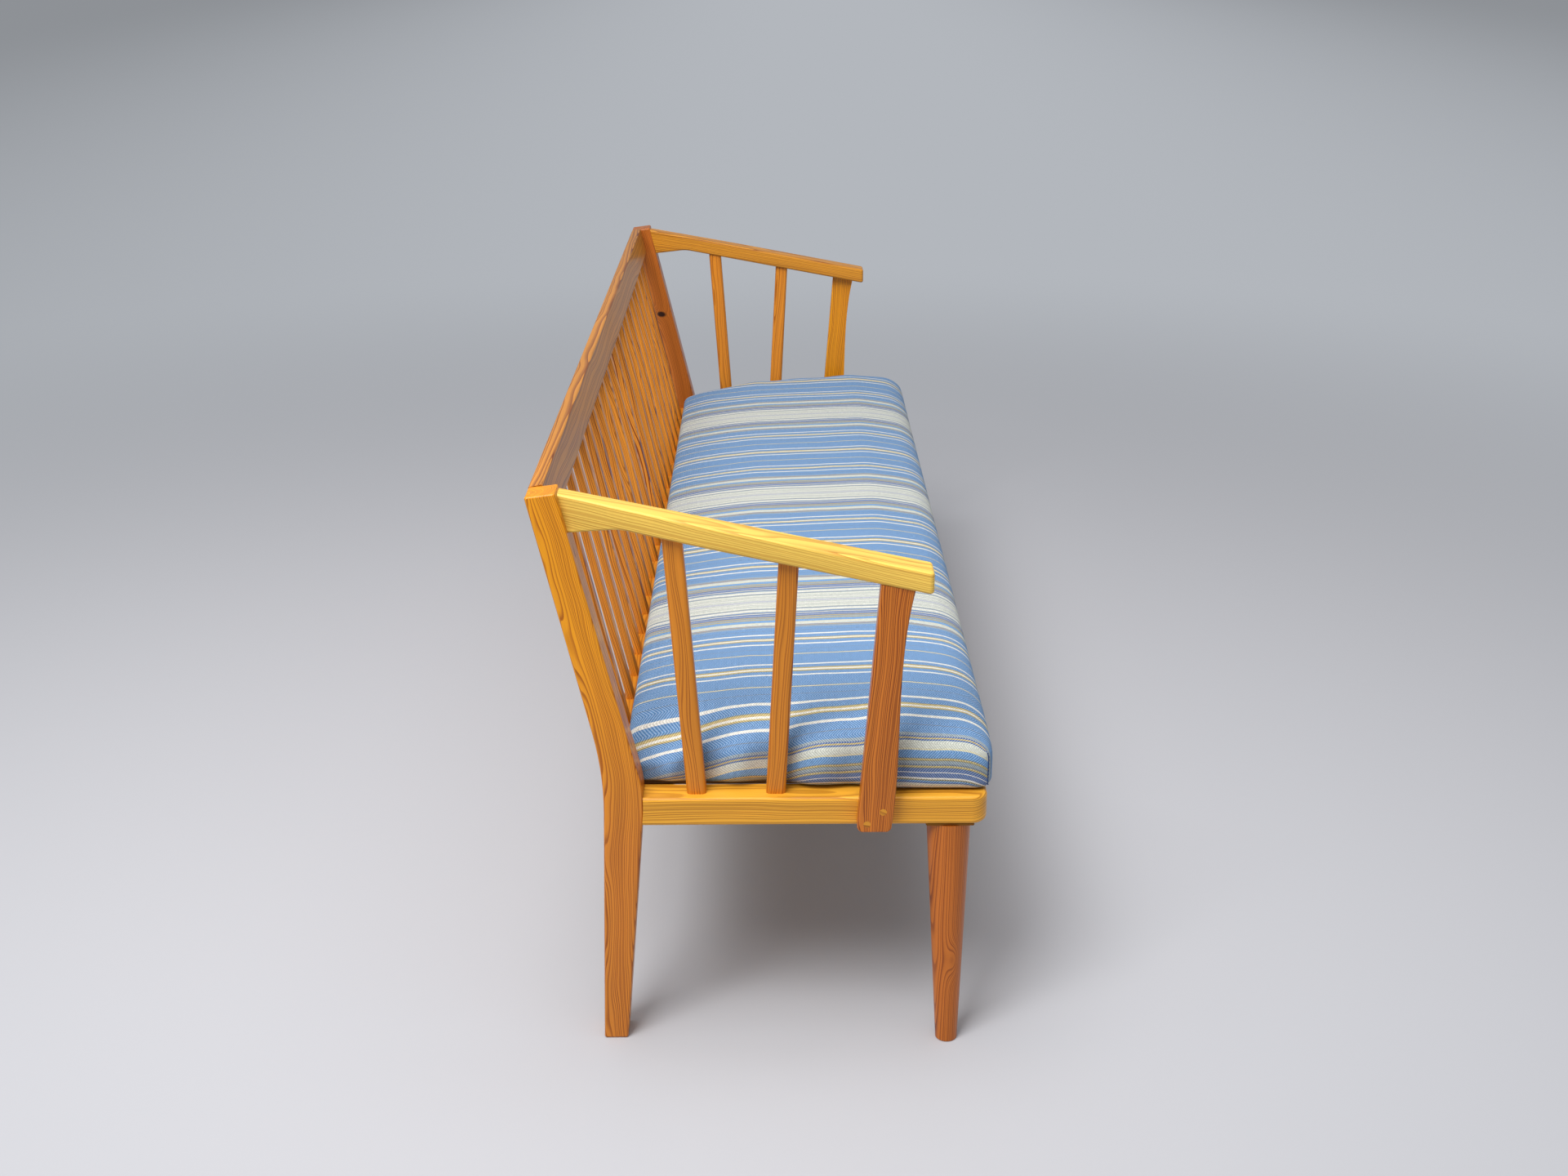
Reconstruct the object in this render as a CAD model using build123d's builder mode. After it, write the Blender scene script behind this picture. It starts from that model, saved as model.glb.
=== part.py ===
from build123d import *
from math import atan2, cos, radians, sin, tan
import os

# Pull-out bench bed in lacquered pine: a slatted back and two open arms stand on the
# rear posts, and a sliding frame on turned front legs carries every second seat slat.
# X runs along the bench, the sitting side faces -Y and +Z is up.  The origin is on the
# floor, below the middle of the overall length and depth.  All sizes are millimetres.

os.makedirs("parts", exist_ok=True)

# ---------------------------------------------------------------- overall
LENGTH = 1900.0                  # over the outer faces of the rear posts
DEPTH = 606.0                    # front of the cushion to the top of the back
CUSHION_OVERHANG = 12.5          # cushion in front of the rails
OUTER_X = LENGTH / 2
BACK_Y = DEPTH / 2
RAIL_FRONT_Y = CUSHION_OVERHANG - DEPTH / 2

# ---------------------------------------------------------------- joinery
FIT = 0.2                        # side play of a tenon in its mortise
GLUE_ROOM = 1.0                  # space past the end of a tenon
TENON = 18.0                     # length of the rail and crest tenons
SLIDE_PLAY = 0.3                 # play of sliding wood, and of the cushion on the rails
PASS_PLAY = 0.5                  # room between parts that pass each other

# ---------------------------------------------------------------- rear posts
POST_THICK = 42.0                # along the bench
POST_TOP_Z = 796.0               # back corner of the top
POST_TOP_RUN = 38.9              # across the top, level
POST_TOP_RISE = 5.0              # front corner of the top above the back one
POST_TOP_SET = 69.5              # top behind the foot
BACK_KNEE_Z = 412.5
BACK_KNEE_SET = 14.6             # knee in front of the foot, on the back edge
BACK_KNEE_RADIUS = 475.0
FRONT_KNEE_Z = 381.0
FRONT_KNEE_SET = 67.1            # knee in front of the foot's back corner
FRONT_KNEE_RADIUS = 187.0
POST_FOOT_WIDTH = 33.0
POST_ARRIS = 3.0
INNER_X = OUTER_X - POST_THICK
FOOT_BACK_Y = BACK_Y - POST_TOP_SET
LEAN = atan2(POST_TOP_SET + BACK_KNEE_SET, POST_TOP_Z - BACK_KNEE_Z)
FOOT_BACK = (FOOT_BACK_Y, 0)
FOOT_FRONT = (FOOT_BACK_Y - POST_FOOT_WIDTH, 0)
KNEE_BACK = (FOOT_BACK_Y - BACK_KNEE_SET, BACK_KNEE_Z)
KNEE_FRONT = (FOOT_BACK_Y - FRONT_KNEE_SET, FRONT_KNEE_Z)
TOP_BACK = (BACK_Y, POST_TOP_Z)
TOP_FRONT = (BACK_Y - POST_TOP_RUN, POST_TOP_Z + POST_TOP_RISE)

# ---------------------------------------------------------------- crest rail and back slats
CREST_HEIGHT = 56.0
CREST_THICK = 19.5
CREST_TENON_THICK = 10.0
CREST_SHOULDER = 8.0             # above and below the tenon
CREST_ARRIS = 2.5
BACK_SLATS = 21
BACK_SLAT_WIDTH = 22.0
BACK_SLAT_THICK = 11.0
BACK_SLAT_ARRIS = 3.0
BACK_TENON_WIDTH = 16.0
BACK_TENON_THICK = 7.0
BACK_TENON = 8.0
BACK_SLAT_PITCH = 2 * INNER_X / (BACK_SLATS + 1)
BACK_SLAT_X = [(n - (BACK_SLATS - 1) / 2) * BACK_SLAT_PITCH for n in range(BACK_SLATS)]

# ---------------------------------------------------------------- end rails
RAIL_TOP_Z = 375.0
RAIL_HEIGHT = 41.5
RAIL_CORNER = 22.0               # rounding of the outer front corner, seen from above
RAIL_TOP_ARRIS = 5.0
RAIL_LOWER_ARRIS = 7.0
RAIL_TENON_THICK = 12.0
RAIL_TENON_SHOULDER = 9.0        # above and below the tenon
RAIL_TENON_INSET = 15.0          # tenon from the post's outer face
RAIL_TENON = 22.0
RAIL_BOTTOM_Z = RAIL_TOP_Z - RAIL_HEIGHT

# ---------------------------------------------------------------- rear seat rail and ledger
REAR_RAIL_THICK = 28.0
REAR_RAIL_TOP_Z = 392.0
REAR_RAIL_HEIGHT = 62.0
REAR_RAIL_SET = 18.0             # back face in front of the foot's back corner
REAR_TENON_THICK = 14.0
REAR_TENON_SHOULDER = 8.0
LEDGER_THICK = 24.0
LEDGER_HEIGHT = 24.0

# ---------------------------------------------------------------- seat slats
SEAT_SLATS = 19                  # every second one slides
SEAT_SLAT_WIDTH = 50.0
SEAT_SLAT_THICK = 12.0
SEAT_SLAT_ARRIS = 2.0
SEAT_DROP = 2.0                  # fixed slats below the top of the end rails
END_SLAT_MARGIN = 28.0           # end slat from the end rail
SEAT_Z = RAIL_TOP_Z - SEAT_DROP - SEAT_SLAT_THICK
MOVING_SEAT_Z = SEAT_Z + PASS_PLAY
END_SLAT_X = INNER_X - END_SLAT_MARGIN - SEAT_SLAT_WIDTH / 2
SEAT_SLAT_PITCH = 2 * END_SLAT_X / (SEAT_SLATS - 1)
SEAT_SLAT_X = [n * SEAT_SLAT_PITCH - END_SLAT_X for n in range(SEAT_SLATS)]
FIXED_SLAT_X = SEAT_SLAT_X[0::2]
MOVING_SLAT_X = SEAT_SLAT_X[1::2]

# ---------------------------------------------------------------- sliding frame
FRONT_RAIL_THICK = 20.0
FRONT_RAIL_LIP = 10.0            # step behind the front rail that carries the slats
RUNNER_HEIGHT = 10.0
RUNNER_WIDTH = 37.5
RUNNER_IN_GROOVE = 9.5
GROOVE_DEPTH = 10.5
RUNNER_ABOVE_RAIL_BOTTOM = 7.5
RUNNER_TENON = 12.0
TIE_THICK = 30.0
TIE_HEIGHT = 23.5
TIE_RELIEF = 1.5                 # dip in the tie under each fixed slat
STOP_GAP = 1.0                   # left at each end of the travel
BEARER_HEIGHT = 21.0
BEARER_THICK = 30.0
BEARER_GAP = 4.0                 # behind the corner blocks when the frame is in
BLOCK_SIZE_X = 65.0
BLOCK_SIZE_Y = 58.0
FRAME_SIDE_GAP = 3.0             # between the end rails and what moves between them
FRONT_RAIL_Z = RAIL_BOTTOM_Z - PASS_PLAY
FRONT_RAIL_BACK_Y = RAIL_FRONT_Y + FRONT_RAIL_THICK
LIP_BACK_Y = FRONT_RAIL_BACK_Y + FRONT_RAIL_LIP
RUNNER_Z = RAIL_BOTTOM_Z + RUNNER_ABOVE_RAIL_BOTTOM
RUNNER_TOP_Z = RUNNER_Z + RUNNER_HEIGHT
RUNNER_OUTER_X = INNER_X + RUNNER_IN_GROOVE
RUNNER_INNER_X = RUNNER_OUTER_X - RUNNER_WIDTH
REAR_RAIL_BACK_Y = FOOT_BACK_Y - REAR_RAIL_SET
REAR_RAIL_FRONT_Y = REAR_RAIL_BACK_Y - REAR_RAIL_THICK
LEDGER_FRONT_Y = REAR_RAIL_FRONT_Y - LEDGER_THICK
TIE_BACK_Y = LEDGER_FRONT_Y - STOP_GAP
TIE_FRONT_Y = TIE_BACK_Y - TIE_THICK
# The frame travels until the tie is a stop gap behind the bearer, which is 300 mm.
BLOCK_BACK_Y = LIP_BACK_Y + BLOCK_SIZE_Y
BEARER_FRONT_Y = BLOCK_BACK_Y + BEARER_GAP
BEARER_BACK_Y = BEARER_FRONT_Y + BEARER_THICK
FRAME_X = INNER_X - FRAME_SIDE_GAP

# ---------------------------------------------------------------- front legs
LEG_TOP_RADIUS = 30.0
LEG_FOOT_RADIUS = 15.0
LEG_FOOT_ARRIS = 1.5
LEG_INSET = 32.0                 # top centre from the rail's outer face
LEG_SPLAY_OUT = 32.0             # foot beyond the top, along the bench
LEG_FROM_FRONT = 49.5            # top centre from the rail's front
LEG_SPLAY_FORWARD = 3.0
PLATE_THICK = 3.0
PLATE_SIZE_X = 100.0
PLATE_SIZE_Y = 65.0
PLATE_INSET = 5.0                # plate from the rail's outer face
LEG_X = OUTER_X - LEG_INSET
LEG_Y = RAIL_FRONT_Y + LEG_FROM_FRONT
PLATE_Z = FRONT_RAIL_Z - PLATE_THICK
PLATE_OUTER_X = OUTER_X - PLATE_INSET
BLOCK_INNER_X = FRAME_X - BLOCK_SIZE_X

# ---------------------------------------------------------------- arms
ARM_SETBACK = 82.0               # front end behind the rail's front
ARM_BELOW_POST_TOP = 4.4         # top line below the front corner of the posts' top
ARM_RISE = 11.37                 # degrees, rising to the back
ARM_THICK = 29.5                 # upright
ARM_FLARE = 78.0                 # length of the deepened rear end
ARM_FLARE_DROP = 9.0
ARM_FLARE_RADIUS = 80.0
ARM_REAR_WIDTH = 28.0
ARM_MID_WIDTH = 41.5
ARM_FRONT_WIDTH = 44.0
ARM_TAPER = 185.0                # length over which the rear end narrows
ARM_TAPER_RADIUS = 1400.0
ARM_SWING = 23.0                 # front end outside the posts' inner face
ARM_CORNER = 6.0
ARM_ARRIS = 4.0
ARM_TENON_THICK = 12.0
ARM_TENON_HEIGHT = 20.0
ARM_TENON_INSET = 9.0            # tenon from the posts' inner face
ARM_TENON_DROP = 22.0            # tenon below the arm's top at the post
ARM_TENON = 18.0
ARM_ANGLE = radians(ARM_RISE)
ARM_FRONT_Y = RAIL_FRONT_Y + ARM_SETBACK
ARM_POST_FACE_TOP_Z = TOP_FRONT[1] - ARM_BELOW_POST_TOP
ARM_FRONT_TOP_Z = ARM_POST_FACE_TOP_Z - (TOP_FRONT[0] - ARM_FRONT_Y) * tan(ARM_ANGLE)

# ---------------------------------------------------------------- spindles and arm posts
SPINDLE_THICK = 22.0             # along the bench
SPINDLE_WIDTH = 26.0
SPINDLE_ARRIS = 6.0
SPINDLE_TENON_RADIUS = 7.0
SPINDLE_TENON = 15.0
SPINDLE_INSET = 24.0             # foot from the rail's outer face
REAR_SPINDLE_SHARE = 0.755       # foot, from the arm post towards the rear post
REAR_SPINDLE_BACK = 24.0         # top behind the foot
REAR_SPINDLE_OUT = 5.0           # top outside the foot
FRONT_SPINDLE_SHARE = 0.379
FRONT_SPINDLE_FORWARD = 18.0
FRONT_SPINDLE_OUT = 15.0
SPINDLES = {
    "rear": (REAR_SPINDLE_SHARE, REAR_SPINDLE_BACK, REAR_SPINDLE_OUT),
    "front": (FRONT_SPINDLE_SHARE, -FRONT_SPINDLE_FORWARD, FRONT_SPINDLE_OUT),
}
ARM_POST_THICK = 20.0
ARM_POST_FROM_FRONT = 176.0      # back edge at the foot, from the rail's front
ARM_POST_RAKE = 28.5             # top in front of the foot, on the back edge
ARM_POST_FOOT_WIDTH = 45.5
ARM_POST_HIP_WIDTH = 46.0
ARM_POST_WAIST_WIDTH = 37.8
ARM_POST_TOP_WIDTH = 44.5
ARM_POST_HIP = 0.21              # share of the height
ARM_POST_WAIST = 0.69
ARM_POST_CORNER = 8.0
ARM_POST_ARRIS = 3.0
ARM_POST_TENON_THICK = 10.0
ARM_POST_TENON_WIDTH = 24.0
ARM_POST_TENON = 14.0
PLUG_RADIUS = 4.8
PLUG_DEPTH = 5.0
PLUG_SPOTS = [(-12.0, 30.5), (9.0, 12.5)]    # from the middle of the foot, above its bottom

# ---------------------------------------------------------------- screws
SCREW_RADIUS = 1.75
SCREW_HEAD_RADIUS = 3.5
SCREW_HEAD_HEIGHT = 2.2
SCREW_LENGTH = 28.0
PLATE_SCREW_LENGTH = 20.0
ARM_SCREW_LENGTH = 38.0
SCREW_PLAY = 0.1
SCREW_EDGE = 8.0                 # plate screws from the edge of the plate

# ---------------------------------------------------------------- cushion
CUSHION_FRONT_INSET = 10.0       # front part from the rails' outer faces
CUSHION_SIDE_REACH = 6.0         # over the end rails, beside the spindles
CUSHION_CORNER = 30.0            # rounding of the front corners, seen from above
CUSHION_POST_GAP = 5.0           # in front of the posts, beside them and before the spindles
CUSHION_BACK_GAP = 1.0           # in front of the rear seat rail
CUSHION_BACK_HEIGHT = 42.0
CUSHION_FRONT_HEIGHT = 60.0
CUSHION_END_HEIGHT = 66.0
CUSHION_CROWN = 95.0
CUSHION_TOP = [(37.0, 85.0), (118.0, 95.0), (333.0, 87.0), (453.0, 71.0)]    # from front, height
CUSHION_END_RUN = 150.0          # length over which the crown comes down to the ends
CUSHION_EDGE = 12.0
COVER_THICK = 2.0
CUSHION_FRONT_X = OUTER_X - CUSHION_FRONT_INSET
CUSHION_SIDE_X = INNER_X + CUSHION_SIDE_REACH
CUSHION_Z = RAIL_TOP_Z + SLIDE_PLAY
CUSHION_BACK_Y = REAR_RAIL_FRONT_Y - CUSHION_BACK_GAP

# ---------------------------------------------------------------- planes
# On the back's plane, X runs along the bench, Y up the lean and Z forwards.
BACK_PLANE = Plane(
    origin=(0, BACK_Y, POST_TOP_Z), x_dir=(1, 0, 0), z_dir=(0, -cos(LEAN), sin(LEAN))
)
ARM_UNDERSIDE = Plane(
    origin=(0, ARM_FRONT_Y, ARM_FRONT_TOP_Z - ARM_THICK),
    x_dir=(1, 0, 0),
    z_dir=(0, -sin(ARM_ANGLE), cos(ARM_ANGLE)),
)


def on_line(start, end, z):
    """Y at height z on the straight line through two (Y, Z) points."""
    return start[0] + (end[0] - start[0]) * (z - start[1]) / (end[1] - start[1])


def arm_top_z(y):
    """Height of the arm's top line at y."""
    return ARM_FRONT_TOP_Z + (y - ARM_FRONT_Y) * tan(ARM_ANGLE)


def wider(span, by):
    """A (low, high) span, grown at both ends."""
    return (span[0] - by, span[1] + by)


def board(plane, x, y, z, mode=Mode.ADD):
    """A square-cut board between two corners, given along the plane's own directions."""
    with BuildSketch(plane.offset(z[0])) as outline:
        with Locations(((x[0] + x[1]) / 2, (y[0] + y[1]) / 2)):
            Rectangle(x[1] - x[0], y[1] - y[0])
    extrude(outline.sketch, amount=z[1] - z[0], mode=mode)


def write(piece, node):
    """Label a finished piece and write its STEP file."""
    piece.part.label = node
    export_step(piece.part, f"parts/{node}.step")


def write_right(left_piece, node):
    """Write the right-hand twin of a left-hand piece."""
    with BuildPart() as twin:
        mirror(left_piece.part, about=Plane.YZ)
    write(twin, node)


def screw(length, grow=0.0):
    """A countersunk wood screw below the XY plane, or the hole for one."""
    with BuildPart() as piece:
        with BuildSketch(Plane.XZ):
            with BuildLine():
                Polyline(
                    (0, 0),
                    (SCREW_HEAD_RADIUS + grow, 0),
                    (SCREW_RADIUS + grow, -SCREW_HEAD_HEIGHT),
                    (SCREW_RADIUS + grow, -length + 2 * SCREW_RADIUS),
                    (0, -length - grow),
                    close=True,
                )
            make_face()
        revolve(axis=Axis.Z)
        if grow == 0:
            slot = SCREW_RADIUS / 2
            reach = SCREW_HEAD_RADIUS * 2
            board(Plane.XY, (-reach, reach), (-slot / 2, slot / 2), (-slot, slot), Mode.SUBTRACT)
    return piece.part


SLAT_SCREW = screw(SCREW_LENGTH)
SLAT_SCREW_HOLE = screw(SCREW_LENGTH, SCREW_PLAY)
PLATE_SCREW = screw(PLATE_SCREW_LENGTH)
PLATE_SCREW_HOLE = screw(PLATE_SCREW_LENGTH, SCREW_PLAY)
ARM_SCREW = screw(ARM_SCREW_LENGTH)
ARM_SCREW_HOLE = screw(ARM_SCREW_LENGTH, SCREW_PLAY)


def plug(grow=0.0):
    """A wooden plug standing on the XY plane, or the hole for it."""
    with BuildPart() as piece:
        with BuildSketch(Plane.XY):
            Circle(PLUG_RADIUS + grow)
        extrude(amount=PLUG_DEPTH + grow)
    return piece.part


PLUG = plug()
PLUG_HOLE = plug(SCREW_PLAY)


# ================================================================ rear posts
def post_outline(x, arris=0.0):
    """Side outline of a rear post on the YZ plane at x."""
    with BuildSketch(Plane.YZ.offset(x)) as outline:
        with BuildLine():
            Polyline(FOOT_BACK, KNEE_BACK, TOP_BACK, TOP_FRONT, KNEE_FRONT, FOOT_FRONT, close=True)
        make_face()
        for knee, radius in ((KNEE_FRONT, FRONT_KNEE_RADIUS), (KNEE_BACK, BACK_KNEE_RADIUS)):
            fillet(outline.vertices().sort_by_distance(knee)[0], radius=radius)
        if arris > 0:
            for corner in (FOOT_BACK, FOOT_FRONT, TOP_BACK, TOP_FRONT):
                fillet(outline.vertices().sort_by_distance(corner)[0], radius=arris)
    return outline.sketch


POST_BLANK = post_outline(-OUTER_X)


def cut_to_post():
    """Cut the piece in hand to the sharp-edged shape of the left rear post."""
    extrude(POST_BLANK, amount=POST_THICK, mode=Mode.SUBTRACT)


CREST_TENON_Y = (CREST_SHOULDER - CREST_HEIGHT, -CREST_SHOULDER)
CREST_TENON_Z = ((CREST_THICK - CREST_TENON_THICK) / 2, (CREST_THICK + CREST_TENON_THICK) / 2)
RAIL_TENON_X = (RAIL_TENON_INSET - OUTER_X, RAIL_TENON_INSET + RAIL_TENON_THICK - OUTER_X)
RAIL_TENON_Z = (RAIL_BOTTOM_Z + RAIL_TENON_SHOULDER, RAIL_TOP_Z - RAIL_TENON_SHOULDER)
RAIL_MID_Z = (RAIL_TOP_Z + RAIL_BOTTOM_Z) / 2
POST_AT_RAIL_Y = on_line(FOOT_FRONT, KNEE_FRONT, RAIL_MID_Z)
REAR_TENON_Y = (
    REAR_RAIL_BACK_Y - (REAR_RAIL_THICK + REAR_TENON_THICK) / 2,
    REAR_RAIL_BACK_Y - (REAR_RAIL_THICK - REAR_TENON_THICK) / 2,
)
REAR_TENON_Z = (
    REAR_RAIL_TOP_Z - REAR_RAIL_HEIGHT + REAR_TENON_SHOULDER,
    REAR_RAIL_TOP_Z - REAR_TENON_SHOULDER,
)
ARM_TENON_X = (-INNER_X - ARM_TENON_INSET - ARM_TENON_THICK, -INNER_X - ARM_TENON_INSET)
ARM_MEETS_POST_Y = on_line(KNEE_FRONT, TOP_FRONT, arm_top_z(TOP_FRONT[0]))
ARM_TENON_TOP_Z = arm_top_z(ARM_MEETS_POST_Y) - ARM_TENON_DROP + ARM_TENON_HEIGHT / 2
ARM_TENON_Z = (ARM_TENON_TOP_Z - ARM_TENON_HEIGHT, ARM_TENON_TOP_Z)
ARM_TENON_BASE_Y = on_line(KNEE_FRONT, TOP_FRONT, ARM_TENON_Z[0])
ARM_TENON_END_Y = ARM_TENON_BASE_Y + ARM_TENON

with BuildPart() as rear_post_left:
    extrude(post_outline(-OUTER_X, POST_ARRIS), amount=POST_THICK)
    fillet(rear_post_left.faces().filter_by(Axis.X).edges(), radius=POST_ARRIS)
    # crest rail mortise
    board(
        BACK_PLANE,
        (-INNER_X - TENON - GLUE_ROOM, -INNER_X),
        wider(CREST_TENON_Y, FIT),
        wider(CREST_TENON_Z, FIT),
        Mode.SUBTRACT,
    )
    # rear seat rail mortise
    board(
        Plane.XY,
        (-INNER_X - TENON - GLUE_ROOM, -INNER_X),
        wider(REAR_TENON_Y, FIT),
        wider(REAR_TENON_Z, FIT),
        Mode.SUBTRACT,
    )
    # end rail mortise
    board(
        Plane.XY,
        wider(RAIL_TENON_X, FIT),
        (KNEE_FRONT[0] - POST_ARRIS, POST_AT_RAIL_Y + RAIL_TENON + GLUE_ROOM),
        wider(RAIL_TENON_Z, FIT),
        Mode.SUBTRACT,
    )
    # arm mortise
    board(
        Plane.XY,
        wider(ARM_TENON_X, FIT),
        (KNEE_FRONT[0], ARM_TENON_END_Y + GLUE_ROOM),
        wider(ARM_TENON_Z, FIT),
        Mode.SUBTRACT,
    )
write(rear_post_left, "rear_post_left")
write_right(rear_post_left, "rear_post_right")

# ================================================================ back
BACK_TENON_PLANE = Plane(
    origin=BACK_PLANE.from_local_coords((0, -CREST_HEIGHT, CREST_THICK / 2)),
    x_dir=(1, 0, 0),
    z_dir=(0, -sin(LEAN), -cos(LEAN)),
)
BACK_SLAT_RUN = (POST_TOP_Z - CREST_HEIGHT * cos(LEAN) - REAR_RAIL_TOP_Z) / cos(LEAN)
BACK_SLAT_RUN = BACK_SLAT_RUN + CREST_THICK / 2 * tan(LEAN)


def back_tenon(x, mode, play=0.0, extra=0.0):
    """The core of a back slat at x, from tenon end to tenon end."""
    half_x = BACK_TENON_WIDTH / 2 + play
    half_y = BACK_TENON_THICK / 2 + play
    reach = BACK_TENON + extra
    board(
        BACK_TENON_PLANE,
        (x - half_x, x + half_x),
        (-half_y, half_y),
        (-reach, BACK_SLAT_RUN + reach),
        mode,
    )


with BuildPart() as crest_rail:
    board(BACK_PLANE, (-INNER_X, INNER_X), (-CREST_HEIGHT, 0), (0, CREST_THICK))
    fillet(crest_rail.edges().filter_by(Axis.X), radius=CREST_ARRIS)
    board(BACK_PLANE, (-INNER_X - TENON, INNER_X + TENON), CREST_TENON_Y, CREST_TENON_Z)
    for slat_x in BACK_SLAT_X:
        back_tenon(slat_x, Mode.SUBTRACT, FIT, GLUE_ROOM)
write(crest_rail, "crest_rail")

with BuildPart() as rear_seat_rail:
    rear_rail_z = (REAR_RAIL_TOP_Z - REAR_RAIL_HEIGHT, REAR_RAIL_TOP_Z)
    board(Plane.XY, (-INNER_X, INNER_X), (REAR_RAIL_FRONT_Y, REAR_RAIL_BACK_Y), rear_rail_z)
    fillet(rear_seat_rail.edges().filter_by(Axis.X), radius=CREST_ARRIS)
    board(Plane.XY, (-INNER_X - TENON, INNER_X + TENON), REAR_TENON_Y, REAR_TENON_Z)
    for slat_x in BACK_SLAT_X:
        back_tenon(slat_x, Mode.SUBTRACT, FIT, GLUE_ROOM)
write(rear_seat_rail, "rear_seat_rail")

for number, slat_x in enumerate(BACK_SLAT_X, start=1):
    with BuildPart() as back_slat:
        with BuildSketch(BACK_TENON_PLANE):
            with Locations((slat_x, 0)):
                RectangleRounded(BACK_SLAT_WIDTH, BACK_SLAT_THICK, BACK_SLAT_ARRIS)
        extrude(amount=BACK_SLAT_RUN + BACK_SLAT_THICK)
        split(bisect_by=Plane.XY.offset(REAR_RAIL_TOP_Z), keep=Keep.TOP)
        back_tenon(slat_x, Mode.ADD)
    write(back_slat, f"back_slat_{number:02d}")

# ================================================================ end rails
ARM_POST_BACK_Y = RAIL_FRONT_Y + ARM_POST_FROM_FRONT
ARM_POST_MID_Y = ARM_POST_BACK_Y - ARM_POST_FOOT_WIDTH / 2
ARM_SCREW_X = -OUTER_X - ARM_POST_THICK + PLUG_DEPTH
ARM_SCREW_SPOTS = [
    Plane(
        origin=(ARM_SCREW_X, ARM_POST_MID_Y + spot[0], RAIL_BOTTOM_Z + spot[1]),
        x_dir=(0, 1, 0),
        z_dir=(-1, 0, 0),
    ).location
    for spot in PLUG_SPOTS
]


def spindle_plane(end):
    """Plane at the foot of a left spindle, its Z running up the spindle."""
    share, top_behind, top_out = SPINDLES[end]
    foot_y = ARM_POST_BACK_Y + share * (KNEE_FRONT[0] - ARM_POST_BACK_Y)
    foot = Vector(SPINDLE_INSET - OUTER_X, foot_y, RAIL_TOP_Z)
    top_y = foot.Y + top_behind
    top = Vector(foot.X - top_out, top_y, arm_top_z(top_y) - ARM_THICK)
    return Plane(origin=foot, x_dir=(1, 0, 0), z_dir=top - foot), (top - foot).length


def spindle_core(end, mode, play=0.0, extra=0.0):
    """The round core of a left spindle, from tenon end to tenon end."""
    plane, run = spindle_plane(end)
    reach = SPINDLE_TENON + extra
    with BuildSketch(plane.offset(-reach)) as ring:
        Circle(SPINDLE_TENON_RADIUS + play)
    extrude(ring.sketch, amount=run + 2 * reach, mode=mode)


with BuildPart() as end_rail_left:
    rail_x = (-OUTER_X, -INNER_X)
    rail_end_y = POST_AT_RAIL_Y + POST_FOOT_WIDTH / 2
    board(Plane.XY, rail_x, (RAIL_FRONT_Y, rail_end_y), (RAIL_BOTTOM_Z, RAIL_TOP_Z))
    front_edges = end_rail_left.edges().filter_by(Axis.Z).sort_by(Axis.Y)[:2]
    fillet(front_edges.sort_by(Axis.X)[0], radius=RAIL_CORNER)
    top_edge = end_rail_left.edges().filter_by(Axis.Y).group_by(Axis.Z)[-1].sort_by(Axis.X)[0]
    fillet(top_edge, radius=RAIL_TOP_ARRIS)
    low_edge = end_rail_left.edges().filter_by(Axis.Y).group_by(Axis.Z)[0].sort_by(Axis.X)[0]
    fillet(low_edge, radius=RAIL_LOWER_ARRIS)
    cut_to_post()
    board(
        Plane.XY,
        RAIL_TENON_X,
        (KNEE_FRONT[0] - RAIL_TENON, POST_AT_RAIL_Y + RAIL_TENON),
        RAIL_TENON_Z,
    )
    # groove for the runner, open at the front
    board(
        Plane.XY,
        (-INNER_X - GROOVE_DEPTH, -INNER_X),
        (RAIL_FRONT_Y, TIE_BACK_Y + STOP_GAP),
        wider((RUNNER_Z, RUNNER_TOP_Z), SLIDE_PLAY),
        Mode.SUBTRACT,
    )
    for end in SPINDLES:
        spindle_core(end, Mode.SUBTRACT, FIT, GLUE_ROOM)
    with Locations(*ARM_SCREW_SPOTS):
        add(ARM_SCREW_HOLE, mode=Mode.SUBTRACT)
write(end_rail_left, "end_rail_left")
write_right(end_rail_left, "end_rail_right")

# ================================================================ arms
ARM_INNER_FRONT_X = -INNER_X - ARM_SWING
ARM_REAR_Y = TOP_FRONT[0] + POST_TOP_RUN / 4
ARM_MID_Y = TOP_FRONT[0] - ARM_TAPER
ARM_FLARE_Y = TOP_FRONT[0] - ARM_FLARE


def arm_inner_x(y):
    """X of the left arm's inner side at y."""
    share = (ARM_REAR_Y - y) / (ARM_REAR_Y - ARM_FRONT_Y)
    return -INNER_X - share * ARM_SWING


def arm_bottom_z(y):
    """Height of the arm's straight underside at y."""
    return arm_top_z(y) - ARM_THICK


ARM_POST_OUTER_X = -OUTER_X - ARM_POST_THICK
ARM_POST_TOP_Y = ARM_POST_BACK_Y - ARM_POST_RAKE
ARM_POST_TOP_Z = arm_bottom_z(ARM_POST_TOP_Y)
ARM_POST_MID_X = -OUTER_X - ARM_POST_THICK / 2
ARM_POST_TENON_MID_Y = ARM_POST_TOP_Y - ARM_POST_TOP_WIDTH / 2


def arm_post_edge(share, width):
    """A point of the arm post's front edge, at a share of its height."""
    back = ARM_POST_BACK_Y - share * ARM_POST_RAKE
    return (back - width, RAIL_BOTTOM_Z + share * (ARM_POST_TOP_Z - RAIL_BOTTOM_Z))


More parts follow.
